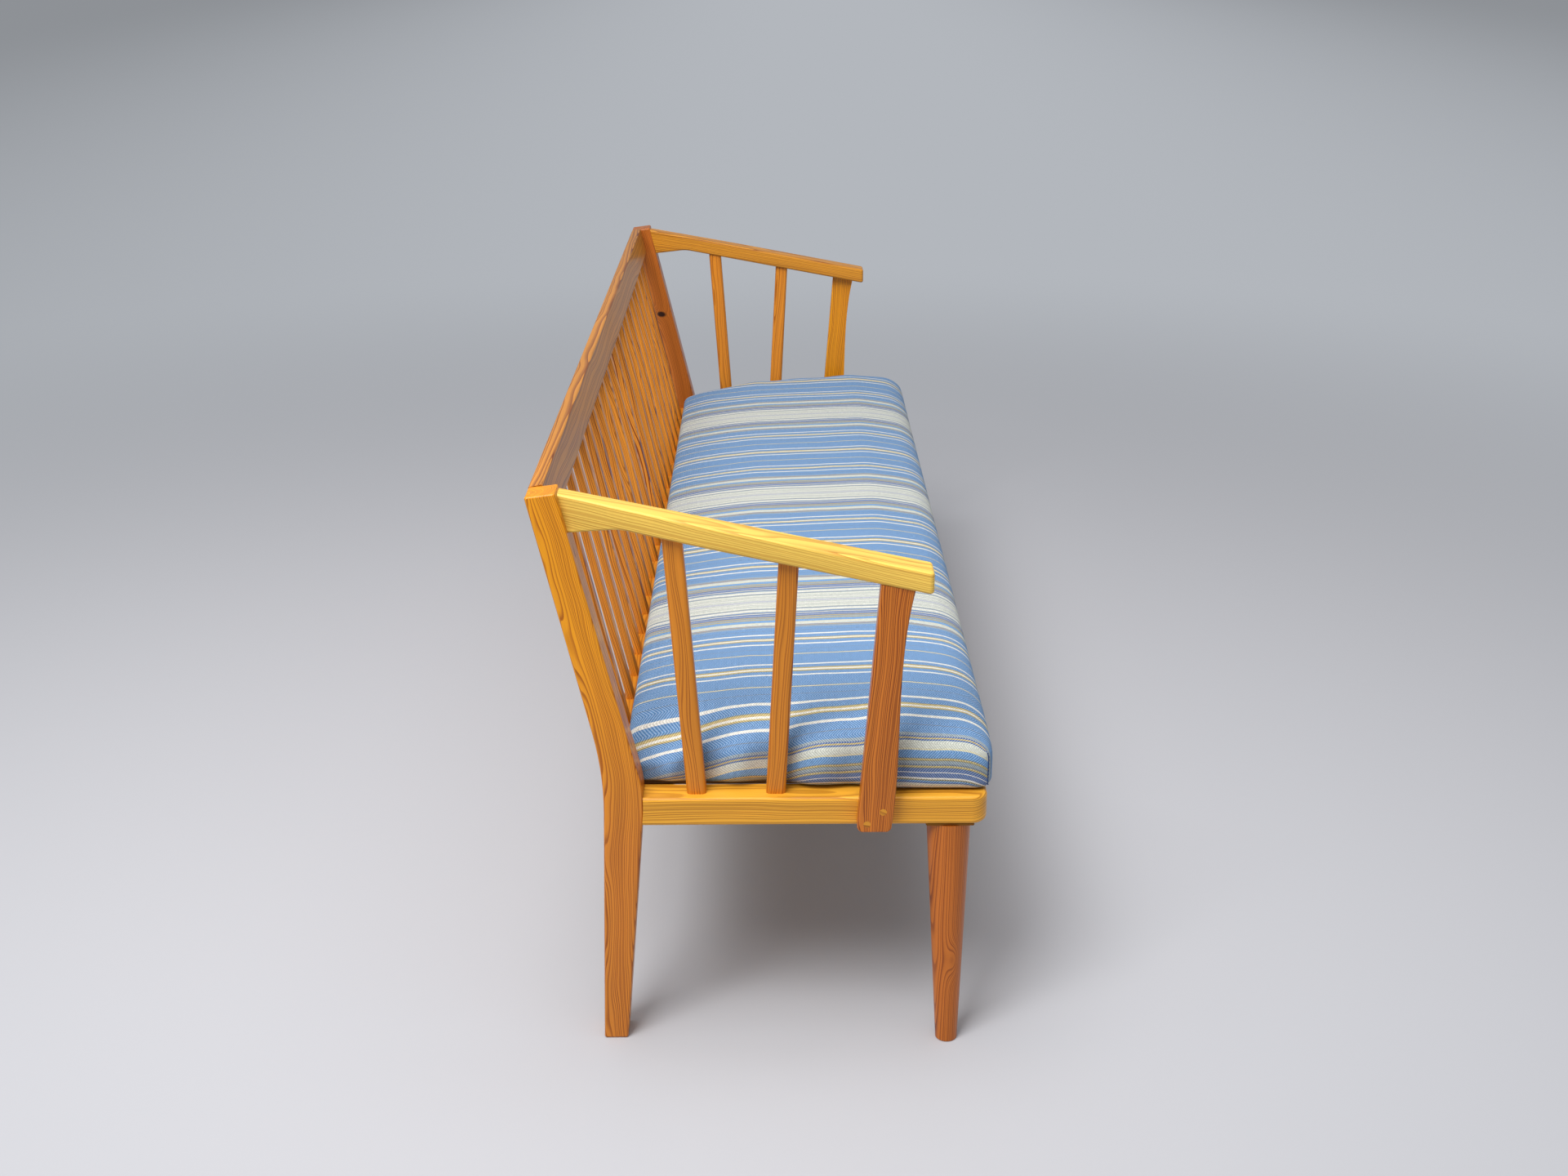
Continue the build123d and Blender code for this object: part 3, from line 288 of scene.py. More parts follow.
@dataclass(frozen=True)
class LacqueredPine(Finish):
    """Pine boards under clear gloss lacquer, sawn and planed.

    The growth rings are real shells around the pith, so a face across them shows close straight
    lines, a face along them shows arches and an end shows arcs.  Late wood is darker and
    narrower than early wood, and the lacquer gives the whole a clear, smooth coat.
    """

    tone: PineTone
    run: Place
    pith: Place
    ring: float = 3.0 * MM
    contrast: float = 1.0
    pitch: float = 0.0
    scatter: Span = (0.16, 0.10)
    bend: Bend | None = None
    coat: float = 0.2
    wander: float = 6.0 * MM
    sway: float = 350 * MM
    knot: Knot | None = None
    # a darker tone towards the foot, painted shade rather than the wood's own colour
    shaded_foot_tone: PineTone | None = None

    # width and length of a speck of each kind of noise
    FIBRE = (0.6 * MM, 40 * MM)
    CLOUD = (22 * MM, 300 * MM)
    SWAY_WIDTH = 60 * MM
    # how far along the log the boards of a row may start
    LOG_REACH = 0.9
    # wave of the rings' widths, and how much wider or narrower it makes them
    YEAR_WAVE = 0.45
    YEAR_SPREAD = 2.2
    # share of a year, and the share of late wood by then
    SEASON = ((0.0, 0.0), (0.42, 0.12), (0.64, 0.6), (0.8, 1.0), (0.92, 0.9), (1.0, 0.0))
    KNOT_HEART = "#2e1406"

    def shader(self, tree: Tree) -> Source:
        """Lay out the nodes of the wood and its lacquer."""
        spot = self.split(tree, self.place(tree))
        return self.surface(tree, spot, self.rings(tree, spot))

    def place(self, tree: Tree) -> Source:
        """Find where a point is, as seen from the pith of its own board.

        Args:
            tree: The material's nodes.

        Returns:
            The place in metres, with a bend straightened.
        """
        here = add(tree, "ShaderNodeTexCoord").outputs["Object"]
        parts = add(tree, "ShaderNodeSeparateXYZ", {0: here}).outputs
        if self.bend:
            bend = self.bend
            above = add(tree, MATH, {0: parts["Z"], 1: bend.knee_z}, operation="SUBTRACT")
            low = add(tree, MATH, {0: above, 1: bend.below}, operation="MULTIPLY")
            high = add(tree, MATH, {0: above, 1: bend.above}, operation="MULTIPLY")
            line = add(tree, MATH, {0: low, 1: high, 2: bend.blend}, operation="SMOOTH_MAX")
            level = add(tree, MATH, {0: parts["Y"], 1: line}, operation="SUBTRACT")
            here = add(tree, "ShaderNodeCombineXYZ", {0: parts["X"], 1: level, 2: parts["Z"]})
        if self.pitch:
            # each board of a row comes from its own place in the log
            count = add(tree, MATH, {0: parts["X"], 1: self.pitch}, operation="DIVIDE")
            number = add(tree, MATH, {0: count}, operation="ROUND")
            centre = add(tree, MATH, {0: number, 1: self.pitch}, operation="MULTIPLY")
            origin = add(tree, "ShaderNodeCombineXYZ", {0: centre})
            here = add(tree, VECTOR, {0: here, 1: origin}, operation="SUBTRACT")
            chance = add(tree, CHANCE, {"W": number}, noise_dimensions="1D").outputs["Color"]
            spread = (*self.scatter, self.LOG_REACH)
            back = (*[-reach / 2 for reach in self.scatter], 0)
            shift = add(tree, VECTOR, {0: chance, 1: spread, 2: back}, operation="MULTIPLY_ADD")
            here = add(tree, VECTOR, {0: here, 1: shift}, operation="ADD")
        return add(tree, VECTOR, {0: here, 1: self.pith}, operation="SUBTRACT")

    def split(self, tree: Tree, place: Source) -> Spot:
        """Split a place into its parts along and across the grain.

        Args:
            tree: The material's nodes.
            place: The place from the pith.

        Returns:
            The two parts.
        """
        run = tuple(Vector(self.run).normalized())
        along = add(tree, VECTOR, {0: place, 1: run}, operation="DOT_PRODUCT").outputs["Value"]
        line = add(tree, VECTOR, {0: run, "Scale": along}, operation="SCALE")
        across = add(tree, VECTOR, {0: place, 1: line}, operation="SUBTRACT")
        return Spot(along, across)

    def grain_noise(self, tree: Tree, spot: Spot, size: Span, detail: float) -> bpy.types.Node:
        """Make noise that is drawn out along the grain.

        Args:
            tree: The material's nodes.
            spot: The point in its board.
            size: Width and length of a speck, in metres.
            detail: Octaves of finer noise.

        Returns:
            The noise.
        """
        run = tuple(Vector(self.run).normalized())
        reach = add(tree, MATH, {0: spot.along, 1: 1 / size[1]}, operation="MULTIPLY")
        line = add(tree, VECTOR, {0: run, "Scale": reach}, operation="SCALE")
        spread = add(tree, VECTOR, {0: spot.across, "Scale": 1 / size[0]}, operation="SCALE")
        place = add(tree, VECTOR, {0: line, 1: spread}, operation="ADD")
        return add(tree, NOISE, {"Vector": place, "Scale": 1.0, "Detail": detail})

    def rings(self, tree: Tree, spot: Spot) -> Source:
        """Draw the growth rings.

        Args:
            tree: The material's nodes.
            spot: The point in its board.

        Returns:
            The season, from early wood, 0, to late wood, 1.
        """
        size = (self.SWAY_WIDTH, self.sway)
        sway = self.grain_noise(tree, spot, size, 2.0).outputs["Color"]
        scale, offset = (4 * self.wander,) * 3, (-2 * self.wander,) * 3
        drift = add(tree, VECTOR, {0: sway, 1: scale, 2: offset}, operation="MULTIPLY_ADD")
        bent = add(tree, VECTOR, {0: spot.across, 1: drift}, operation="ADD")
        radius = add(tree, VECTOR, {0: bent}, operation="LENGTH").outputs["Value"]
        if self.knot:
            bell = self.nearness(tree, spot)
            swell = {0: bell, 1: self.knot.depth, 2: radius}
            radius = add(tree, MATH, swell, operation="MULTIPLY_ADD")
        even = add(tree, MATH, {0: radius, 1: self.ring}, operation="DIVIDE")
        years = add(
            tree, NOISE, {"W": even, "Scale": self.YEAR_WAVE, "Detail": 1.0}, noise_dimensions="1D"
        )
        count = add(tree, MATH, {0: years, 1: self.YEAR_SPREAD, 2: even}, operation="MULTIPLY_ADD")
        passed = add(tree, MATH, {0: count}, operation="FRACT")
        season = add(
            tree,
            "ShaderNodeValToRGB",
            {0: passed},
            stops=[(share, (level, level, level, 1.0)) for share, level in self.SEASON],
        )
        year = add(tree, MATH, {0: count}, operation="FLOOR")
        chance = add(tree, CHANCE, {"W": year}, noise_dimensions="1D").outputs["Value"]
        strength = add(tree, MAP, {"Value": chance, "To Min": 0.5, "To Max": 1.0})
        return add(tree, MATH, {0: season, 1: strength}, operation="MULTIPLY")

    def painted_foot_shade(self, tree: Tree) -> tuple[Source, Source]:
        """Blend the tone into a darker one towards the foot, as painted shade for the light that
        falls off lower down.

        Args:
            tree: The material's nodes.

        Returns:
            The colours of early wood and late wood.
        """
        here = add(tree, "ShaderNodeTexCoord").outputs["Object"]
        height = add(tree, "ShaderNodeSeparateXYZ", {0: here}).outputs["Z"]
        # painted shade: the darker foot tone below 0.3 m blends into the board's own tone by 0.6 m
        share = add(tree, MAP, {"Value": height, "From Min": 0.3, "From Max": 0.6})
        early, late = (
            add(tree, MIX, {0: share, 6: linear(low), 7: linear(high)}, data_type="RGBA")
            for low, high in zip(self.shaded_foot_tone.value, self.tone.value)
        )
        return early.outputs[2], late.outputs[2]

    def nearness(self, tree: Tree, spot: Spot) -> Source:
        """Measure how near a point is to the knot.

        Args:
            tree: The material's nodes.
            spot: The point in its board.

        Returns:
            1 at the knot's centre, falling to 0 around it.
        """
        knot = self.knot
        run = Vector(self.run).normalized()
        heart = Vector(knot.centre) - Vector(self.pith)
        reach = heart.dot(run)
        aside = tuple(heart - reach * run)
        length = {1: 1 / knot.length, 2: -reach / knot.length}
        behind = add(tree, MATH, {0: spot.along, **length}, operation="MULTIPLY_ADD")
        apart = add(tree, VECTOR, {0: spot.across, 1: aside}, operation="DISTANCE")
        distance = apart.outputs["Value"]
        beside = add(tree, MATH, {0: distance, 1: knot.width}, operation="DIVIDE")
        spread = add(tree, "ShaderNodeCombineXYZ", {0: behind, 1: beside})
        square = add(tree, VECTOR, {0: spread, 1: spread}, operation="DOT_PRODUCT")
        fall = add(tree, MATH, {0: square.outputs["Value"], 1: -1.0}, operation="MULTIPLY")
        return add(tree, MATH, {0: fall}, operation="EXPONENT")

    def surface(self, tree: Tree, spot: Spot, season: Source) -> Source:
        """Add the colour, gloss and fine relief of the wood.

        Args:
            tree: The material's nodes.
            spot: The point in its board.
            season: From early wood to late wood.

        Returns:
            The shader.
        """
        early, late = (linear(colour) for colour in self.tone.value)
        # painted shade: the wood darkens towards the foot
        if self.shaded_foot_tone:
            early, late = self.painted_foot_shade(tree)
        fibre = self.grain_noise(tree, spot, self.FIBRE, 3.0)
        cloud = self.grain_noise(tree, spot, self.CLOUD, 2.0)
        share = add(tree, MATH, {0: season, 1: self.contrast}, operation="MULTIPLY")
        wood = add(tree, MIX, {0: share, 6: early, 7: late}, data_type="RGBA").outputs[2]
        if self.knot and self.knot.dark:
            bell = self.nearness(tree, spot)
            core = add(tree, MAP, {"Value": bell, "From Min": 0.7, "From Max": 0.9})
            heart = linear(self.KNOT_HEART)
            wood = add(tree, MIX, {0: core, 6: wood, 7: heart}, data_type="RGBA").outputs[2]
        shade = add(tree, MAP, {"Value": cloud, "To Min": 0.78, "To Max": 1.22})
        thread = add(tree, MAP, {"Value": fibre, "To Min": 0.86, "To Max": 1.14})
        both = add(tree, MATH, {0: shade, 1: thread}, operation="MULTIPLY")
        shaded = add(tree, VECTOR, {0: wood, "Scale": both}, operation="SCALE")
        height = add(tree, MATH, {0: season, 1: 0.6, 2: fibre}, operation="MULTIPLY_ADD")
        relief = add(
            tree, "ShaderNodeBump", {"Strength": 0.08, "Distance": 0.2 * MM, "Height": height}
        )
        return add(
            tree,
            PRINCIPLED,
            {
                "Base Color": shaded,
                "Roughness": 0.4,
                "Specular IOR Level": 0.25,
                "Coat Weight": self.coat,
                "Coat Roughness": 0.14,
                "Normal": relief,
            },
        )


@dataclass(frozen=True)
class ZincPlatedSteel(Finish):
    """Bright zinc plating over steel: a cool, slightly mottled and softly mirroring metal."""

    colour: str = "#b9bdc0"
    roughness: float = 0.32
    grain: float = 6 * MM

    def shader(self, tree: Tree) -> Source:
        """Lay out the nodes of the plating."""
        colour = self.mottled(tree, self.colour, self.grain, (0.9, 1.06))
        metal = {"Base Color": colour, "Metallic": 1.0, "Roughness": self.roughness}
        return add(tree, PRINCIPLED, metal)


class Yarn(Enum):
    """Dyed cotton yarns of the cover."""

    HEATHER = "#a9adba"
    SAGE = "#c6c9bd"
    TEAL = "#8797a0"
    ECRU = "#dfddd4"
    NAVY = "#365f9a"
    OCHRE = "#bda760"
    STRAW = "#d6cda6"
    SKY = "#5590c6"
    BLUE = "#4983b9"
    OLIVE = "#7d7a55"
    SLATE = "#5c7084"


# half of the mirrored repeat: where the stripes of each yarn end, in millimetres
STRIPES = {
    Yarn.HEATHER: (3,),
    Yarn.SAGE: (6, 11, 19, 24, 28, 43, 97),
    Yarn.TEAL: (7, 20, 32, 72, 107),
    Yarn.ECRU: (13, 25.5, 37, 51, 58.5, 136, 154, 172, 246, 263),
    Yarn.SLATE: (14, 29, 33, 68, 77, 120, 189, 206, 209.5, 226),
    Yarn.NAVY: (45, 57, 63, 99, 103),
    Yarn.BLUE: (47, 119, 132, 147, 168, 188, 205, 225, 242, 256),
    Yarn.OLIVE: (48.5, 64, 73, 148.5, 158, 257.5),
    Yarn.OCHRE: (66.5, 76, 101, 151, 156.5, 260.5),
    Yarn.SKY: (86,),
    Yarn.STRAW: (88, 208.5),
}
HALF_REPEAT = tuple(sorted((end, yarn) for yarn, ends in STRIPES.items() for end in ends))


@dataclass(frozen=True)
class StripedTwill(Finish):
    """Yarn-dyed cotton twill in lengthwise stripes.

    Herringbone lines run over every stripe, paler where the undyed weft shows, and each pick is
    a little uneven, which leaves the flat matt look of plain cotton with a soft nap.
    """

    half_repeat: tuple[tuple[float, Yarn], ...]
    first: float
    twill: float = 3.6 * MM
    herringbone: float = 9.5 * MM
    wave: float = 110 * MM
    wobble: float = 5 * MM

    WEFT = "#f6f4ee"
    # width and length of an uneven pick
    PICK = (1.4 * MM, 5 * MM)
    # colour stops that one ramp can hold
    MOST_STOPS = 30

    def shader(self, tree: Tree) -> Source:
        """Lay out the nodes of the cloth.

        Args:
            tree: The material's nodes.

        Returns:
            The shader.
        """
        uv = add(tree, "ShaderNodeUVMap", uv_map="weave")
        parts = add(tree, "ShaderNodeSeparateXYZ", {0: uv}).outputs
        wobble = add(tree, NOISE, {"Vector": uv, "Scale": 1 / self.wave})
        swing = {0: wobble, 1: 2 * self.wobble, 2: parts[0]}
        pulled = add(tree, MATH, swing, operation="MULTIPLY_ADD")
        straight = add(tree, MATH, {0: pulled, 1: self.wobble}, operation="SUBTRACT")
        stripe = self.stripes(tree, straight)
        lines = self.lines(tree, parts[0], parts[1])
        colour = self.weft(tree, stripe, lines, uv)
        relief = add(
            tree, "ShaderNodeBump", {"Strength": 0.5, "Distance": 0.4 * MM, "Height": lines}
        )
        return add(
            tree,
            PRINCIPLED,
            {
                "Base Color": colour,
                "Roughness": 0.92,
                "Specular IOR Level": 0.1,
                "Sheen Weight": 0.04,
                "Sheen Roughness": 0.5,
                "Normal": relief,
            },
        )

    def stripes(self, tree: Tree, along: Source) -> Source:
        """Colour the warp across the mirrored repeat.

        Args:
            tree: The material's nodes.
            along: Metres along the bench on the cloth.

        Returns:
            The warp's colour.
        """
        half = self.half_repeat[-1][0] * MM
        start = add(tree, MATH, {0: along, 1: self.first}, operation="SUBTRACT")
        mirrored = add(tree, MATH, {0: start, 1: half}, operation="PINGPONG")
        share = add(tree, MATH, {0: mirrored, 1: half}, operation="DIVIDE")
        starts = [0.0] + [end * MM / half for end, _ in self.half_repeat[:-1]]
        stops = [(start, linear(yarn.value)) for start, (_, yarn) in zip(starts, self.half_repeat)]
        colour = None
        for first in range(0, len(stops), self.MOST_STOPS):
            group = stops[first : first + self.MOST_STOPS]
            ramp = add(tree, "ShaderNodeValToRGB", {0: share}, stops=group)
            ramp.color_ramp.interpolation = "CONSTANT"
            if colour is None:
                colour = ramp
                continue
            past = add(tree, MATH, {0: share, 1: group[0][0]}, operation="GREATER_THAN")
            colour = add(tree, MIX, {0: past, 6: colour, 7: ramp}, data_type="RGBA").outputs[2]
        return colour

    def lines(self, tree: Tree, along: Source, across: Source) -> Source:
        """Draw the twill's diagonal lines, which turn back at each herringbone.

        Args:
            tree: The material's nodes.
            along: Metres along the bench on the cloth.
            across: Metres across it.

        Returns:
            The height of the lines, from 0 to 1.
        """
        fold = add(tree, MATH, {0: along, 1: self.herringbone}, operation="PINGPONG")
        slant = add(tree, MATH, {0: fold, 1: across}, operation="ADD")
        turns = add(tree, MATH, {0: slant, 1: math.tau / self.twill}, operation="MULTIPLY")
        wave = add(tree, MATH, {0: turns}, operation="SINE")
        return add(tree, MATH, {0: wave, 1: 0.5, 2: 0.5}, operation="MULTIPLY_ADD")

    def weft(self, tree: Tree, stripe: Source, lines: Source, cloth: Source) -> Source:
        """Let the pale weft show between the lines, and darken the twill's grooves with painted
        shade.

        Args:
            tree: The material's nodes.
            stripe: Colour of the warp.
            lines: Height of the twill lines.
            cloth: The place on the cloth, in metres.

        Returns:
            The cloth's colour.
        """
        share = add(tree, MAP, {"Value": lines, "To Min": 0.0, "To Max": 0.25})
        pale = add(tree, MIX, {0: share, 6: stripe, 7: linear(self.WEFT)}, data_type="RGBA")
        fine = (1 / self.PICK[0], 1 / self.PICK[1], 1.0)
        picks = add(tree, VECTOR, {0: cloth, 1: fine}, operation="MULTIPLY")
        slub = add(tree, NOISE, {"Vector": picks, "Scale": 1.0, "Detail": 2.0})
        # painted shade: the grooves, low in the twill's relief, are darker
        depth = add(tree, MAP, {"Value": lines, "To Min": 0.8, "To Max": 1.08})
        uneven = add(tree, MAP, {"Value": slub, "To Min": 0.6, "To Max": 1.4})
        level = add(tree, MATH, {0: depth, 1: uneven}, operation="MULTIPLY")
        return add(tree, VECTOR, {0: pale.outputs[2], "Scale": level}, operation="SCALE")


# ------------------------------------------------------------------ bench
@dataclass(frozen=True)
class RearFrame:
    """The bent rear posts with the slatted back between them."""

    lean: float = math.radians(12.37)
    knee_z: float = 412.5 * MM
    slats: int = 21
    slat_pitch: float = 1816 * MM / 22

    def dress(self) -> None:
        """Give every board of the rear frame its finish."""
        bend = Bend(self.knee_z, below=-0.035, above=math.tan(self.lean), blend=0.03)
        knot = Knot((0.908, 0.2, 0.609), 20 * MM, 13 * MM, 7 * MM, dark=True)
        # the left post darkens towards its foot: painted shade for the light that falls off lower
        # down
        for side, sign, tone, shaded_foot_tone, mark in (
            ("left", -1, PineTone.AMBER, PineTone.SHADED_COCOA, None),
            ("right", 1, PineTone.CHESTNUT, PineTone.CHESTNUT, knot),
        ):
            post = LacqueredPine(
                f"lacquered_pine_rear_post_{side}",
                tone,
                (0, 0, 1),
                (sign * 0.931, 0.221, 0),
                ring=2.1 * MM,
                bend=bend,
                sway=220 * MM,
                shaded_foot_tone=shaded_foot_tone,
                knot=mark,
            )
            dress(post, f"rear_post_{side}")
        crest = LacqueredPine(
            "lacquered_pine_crest_rail", PineTone.UMBER, (1, 0, 0), (0, 0.33, 0.70)
        )
        dress(crest, "crest_rail")
        along = (0, math.sin(self.lean), math.cos(self.lean))
        slat = LacqueredPine(
            "lacquered_pine_back_slats",
            PineTone.RUSSET,
            along,
            (0, 0.262, 0.6),
            ring=1.9 * MM,
            pitch=self.slat_pitch,
            scatter=(0.05, 0.02),
            wander=7 * MM,
            sway=240 * MM,
        )
        dress(slat, *[f"back_slat_{number:02d}" for number in range(1, self.slats + 1)])
        rail = LacqueredPine(
            "lacquered_pine_rear_seat_rail", PineTone.COPPER, (1, 0, 0), (0, 0.24, 0.30)
        )
        dress(rail, "rear_seat_rail", "slat_ledger")


@dataclass(frozen=True)
class OpenEnd:
    """One end of the bench: end rail, arm, spindles and arm post."""

    side: str
    sign: int
    arm_tone: PineTone
    post_tone: PineTone
    rise: float = math.radians(11.37)

    def dress(self) -> None:
        """Give every board of the end its finish."""
        side, sign = self.side, self.sign
        grain = (0, math.cos(self.rise), math.sin(self.rise))
        rear, front = (sign * 0.0155, 0.078, 1), (sign * 0.048, -0.058, 1)
        for board, tone, run, pith, ring in (
            ("end_rail", PineTone.GOLD, (0, 1, 0), (sign * 0.935, 0, 0.305), 3.4 * MM),
            ("arm", self.arm_tone, grain, (sign * 0.945, -0.2085, 0.62), 3.4 * MM),
            ("rear_spindle", PineTone.COPPER, rear, (sign * 0.87, 0.13, 0.375), 2.6 * MM),
            ("front_spindle", PineTone.COPPER, front, (sign * 0.97, -0.05, 0.375), 2.6 * MM),
        ):
            finish = LacqueredPine(f"lacquered_pine_{board}_{side}", tone, run, pith, ring)
            dress(finish, f"{board}_{side}")
        post = LacqueredPine(
            f"lacquered_pine_arm_post_{side}",
            self.post_tone,
            (0, -0.08, 1),
            (sign * 0.956, -0.112, 0.335),
            ring=2.2 * MM,
            contrast=1.15,
            sway=260 * MM,
        )
        dress(post, f"arm_post_{side}")


@dataclass(frozen=True)
class Seat:
    """The slatted seat: the fixed slats and the frame that pulls out."""

    slat_pitch: float = 95 * MM
    leg_splay: Span = (32 / 330, 3 / 330)

    def dress(self) -> None:
        """Give every board and fixing of the seat its finish."""
        bare = PineTone.BARE
        pitch = self.slat_pitch
        slats = LacqueredPine(
            "planed_pine_seat_slats", bare, (0, 1, 0), (0, 0, 0.33), pitch=pitch, coat=0.0
        )
        rails = LacqueredPine("planed_pine_seat_frame", bare, (1, 0, 0), (0, -0.2, 0.28), coat=0.0)
        runners = LacqueredPine("planed_pine_runners", bare, (0, 1, 0), (0, 0, 0.32), coat=0.0)
        front = LacqueredPine(
            "lacquered_pine_front_rail", PineTone.COPPER, (1, 0, 0), (0, -0.33, 0.30)
        )
        plugs = LacqueredPine(
            "pine_plugs", PineTone.TOFFEE, (0, 1, 0), (0, 0, 0.33), ring=1.8 * MM
        )
        steel = ZincPlatedSteel("zinc_plated_steel_screws")
        plate = ZincPlatedSteel("brassed_steel_plates", "#8a5c28", 0.5, 15 * MM)
        dress(slats, "fixed_seat_slats", "sliding_seat_slats")
        dress(rails, "seat_bearer", "rear_tie", "corner_block_left", "corner_block_right")
        dress(runners, "runner_left", "runner_right")
        dress(front, "front_rail")
        dress(plugs, "arm_post_plugs")
        dress(steel, "arm_post_screws", "fixed_slat_screws", "sliding_slat_screws", "leg_screws")
        dress(plate, "leg_plate_left", "leg_plate_right")
        for side, sign in (("left", -1), ("right", 1)):
            leg = LacqueredPine(
                f"lacquered_pine_front_leg_{side}",
                PineTone.CHESTNUT,
                (-sign * self.leg_splay[0], self.leg_splay[1], 1),
                (sign * 0.90, -0.33, 0.2),
                ring=2.2 * MM,
                wander=3 * MM,
                knot=Knot((sign * 0.956, -0.253, 0.128), 12 * MM, 30 * MM, 16 * MM),
            )
            dress(leg, f"front_leg_{side}")


# ------------------------------------------------------------------ cushion
@dataclass(frozen=True)
class CottonThread(Finish):
    """Dyed cotton sewing thread: dull, dark and slightly hairy, so it has no highlight."""

    colour: str = "#26406e"
    twist: float = 0.8 * MM

    def shader(self, tree: Tree) -> Source:
        """Lay out the nodes of the thread."""
        colour = self.mottled(tree, self.colour, self.twist, (0.7, 1.3))
        return add(tree, PRINCIPLED, {"Base Color": colour, "Roughness": 0.9})


@dataclass(frozen=True)
class CornerSeam:
    """The hand-sewn seam down an upright corner of the cover: a thread with cross stitches."""

    name: str
    line: list[Vector]
    pitch: float = 5 * MM
    thread: float = 0.7 * MM
    reach: float = 2.2 * MM

    def build(self) -> bpy.types.Object:
        """Sew the seam.

        Returns:
            The seam as one plain mesh.
        """
        edges = [(n, n + 1) for n in range(len(self.line) - 1)]
        seam = put_mesh(self.name, self.line, edges)
        material = bpy.data.materials.get("cotton_sewing_thread")
        if material is None:
            material = CottonThread("cotton_sewing_thread").material()
        tree = self.tree()
        sewing = seam.modifiers.new("Sewing", "NODES")
        sewing.node_group = tree
        values = {
            "Stitch Pitch": self.pitch,
            "Thread Radius": self.thread,
            "Stitch Reach": self.reach,
            "Thread": material,
        }
        for item in tree.interface.items_tree:
            if item.name in values:
                sewing[item.identifier] = values[item.name]
        make_plain(seam, sewing)
        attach(seam, "cushion")
        log.info("made %s with %d faces", self.name, len(seam.data.polygons))
        return seam

    def tree(self) -> Tree:
        """Make the nodes that sweep the thread along the line and lay stitches across it.

        Returns:
            The geometry node tree.
        """
        tree = bpy.data.node_groups.new(f"{self.name}_sewing", "GeometryNodeTree")
        for label, way, kind in (
            ("Line", "INPUT", "Geometry"),
            ("Stitch Pitch", "INPUT", "Float"),
            ("Thread Radius", "INPUT", "Float"),
            ("Stitch Reach", "INPUT", "Float"),
            ("Thread", "INPUT", "Material"),
            ("Seam", "OUTPUT", "Geometry"),
        ):
            tree.interface.new_socket(label, in_out=way, socket_type=f"NodeSocket{kind}")
        given = add(tree, "NodeGroupInput").outputs
        curve = add(tree, "GeometryNodeMeshToCurve", {"Mesh": given["Line"]})
        round_thread = {"Resolution": 6, "Radius": given["Thread Radius"]}
        profile = add(tree, "GeometryNodeCurvePrimitiveCircle", round_thread)
        sweep = {"Curve": curve, "Profile Curve": profile, "Fill Caps": True}
        swept = add(tree, "GeometryNodeCurveToMesh", sweep)
        steps = {"Curve": curve, "Length": given["Stitch Pitch"]}
        spaced = add(tree, "GeometryNodeResampleCurve", steps, mode="LENGTH")
        tangent = add(tree, "GeometryNodeInputTangent")
        aside = add(tree, VECTOR, {0: tangent, 1: (0.7, -0.7, 0.25)}, operation="CROSS_PRODUCT")
        turn = add(tree, "FunctionNodeAlignRotationToVector", {"Vector": aside}, axis="Z")
        rod = {"Vertices": 6, "Radius": given["Thread Radius"], "Depth": given["Stitch Reach"]}
        stitch = add(tree, "GeometryNodeMeshCylinder", rod).outputs["Mesh"]
        stitches = {"Points": spaced, "Instance": stitch, "Rotation": turn}
        laid = add(tree, "GeometryNodeInstanceOnPoints", stitches)
        real = add(tree, "GeometryNodeRealizeInstances", {0: laid})
        joined = add(tree, "GeometryNodeJoinGeometry", {0: real})
        tree.links.new(swept.outputs[0], joined.inputs[0])
        sewn = {"Geometry": joined, "Material": given["Thread"]}
        dressed = add(tree, "GeometryNodeSetMaterial", sewn)
        add(tree, "NodeGroupOutput", {0: dressed})
        return tree


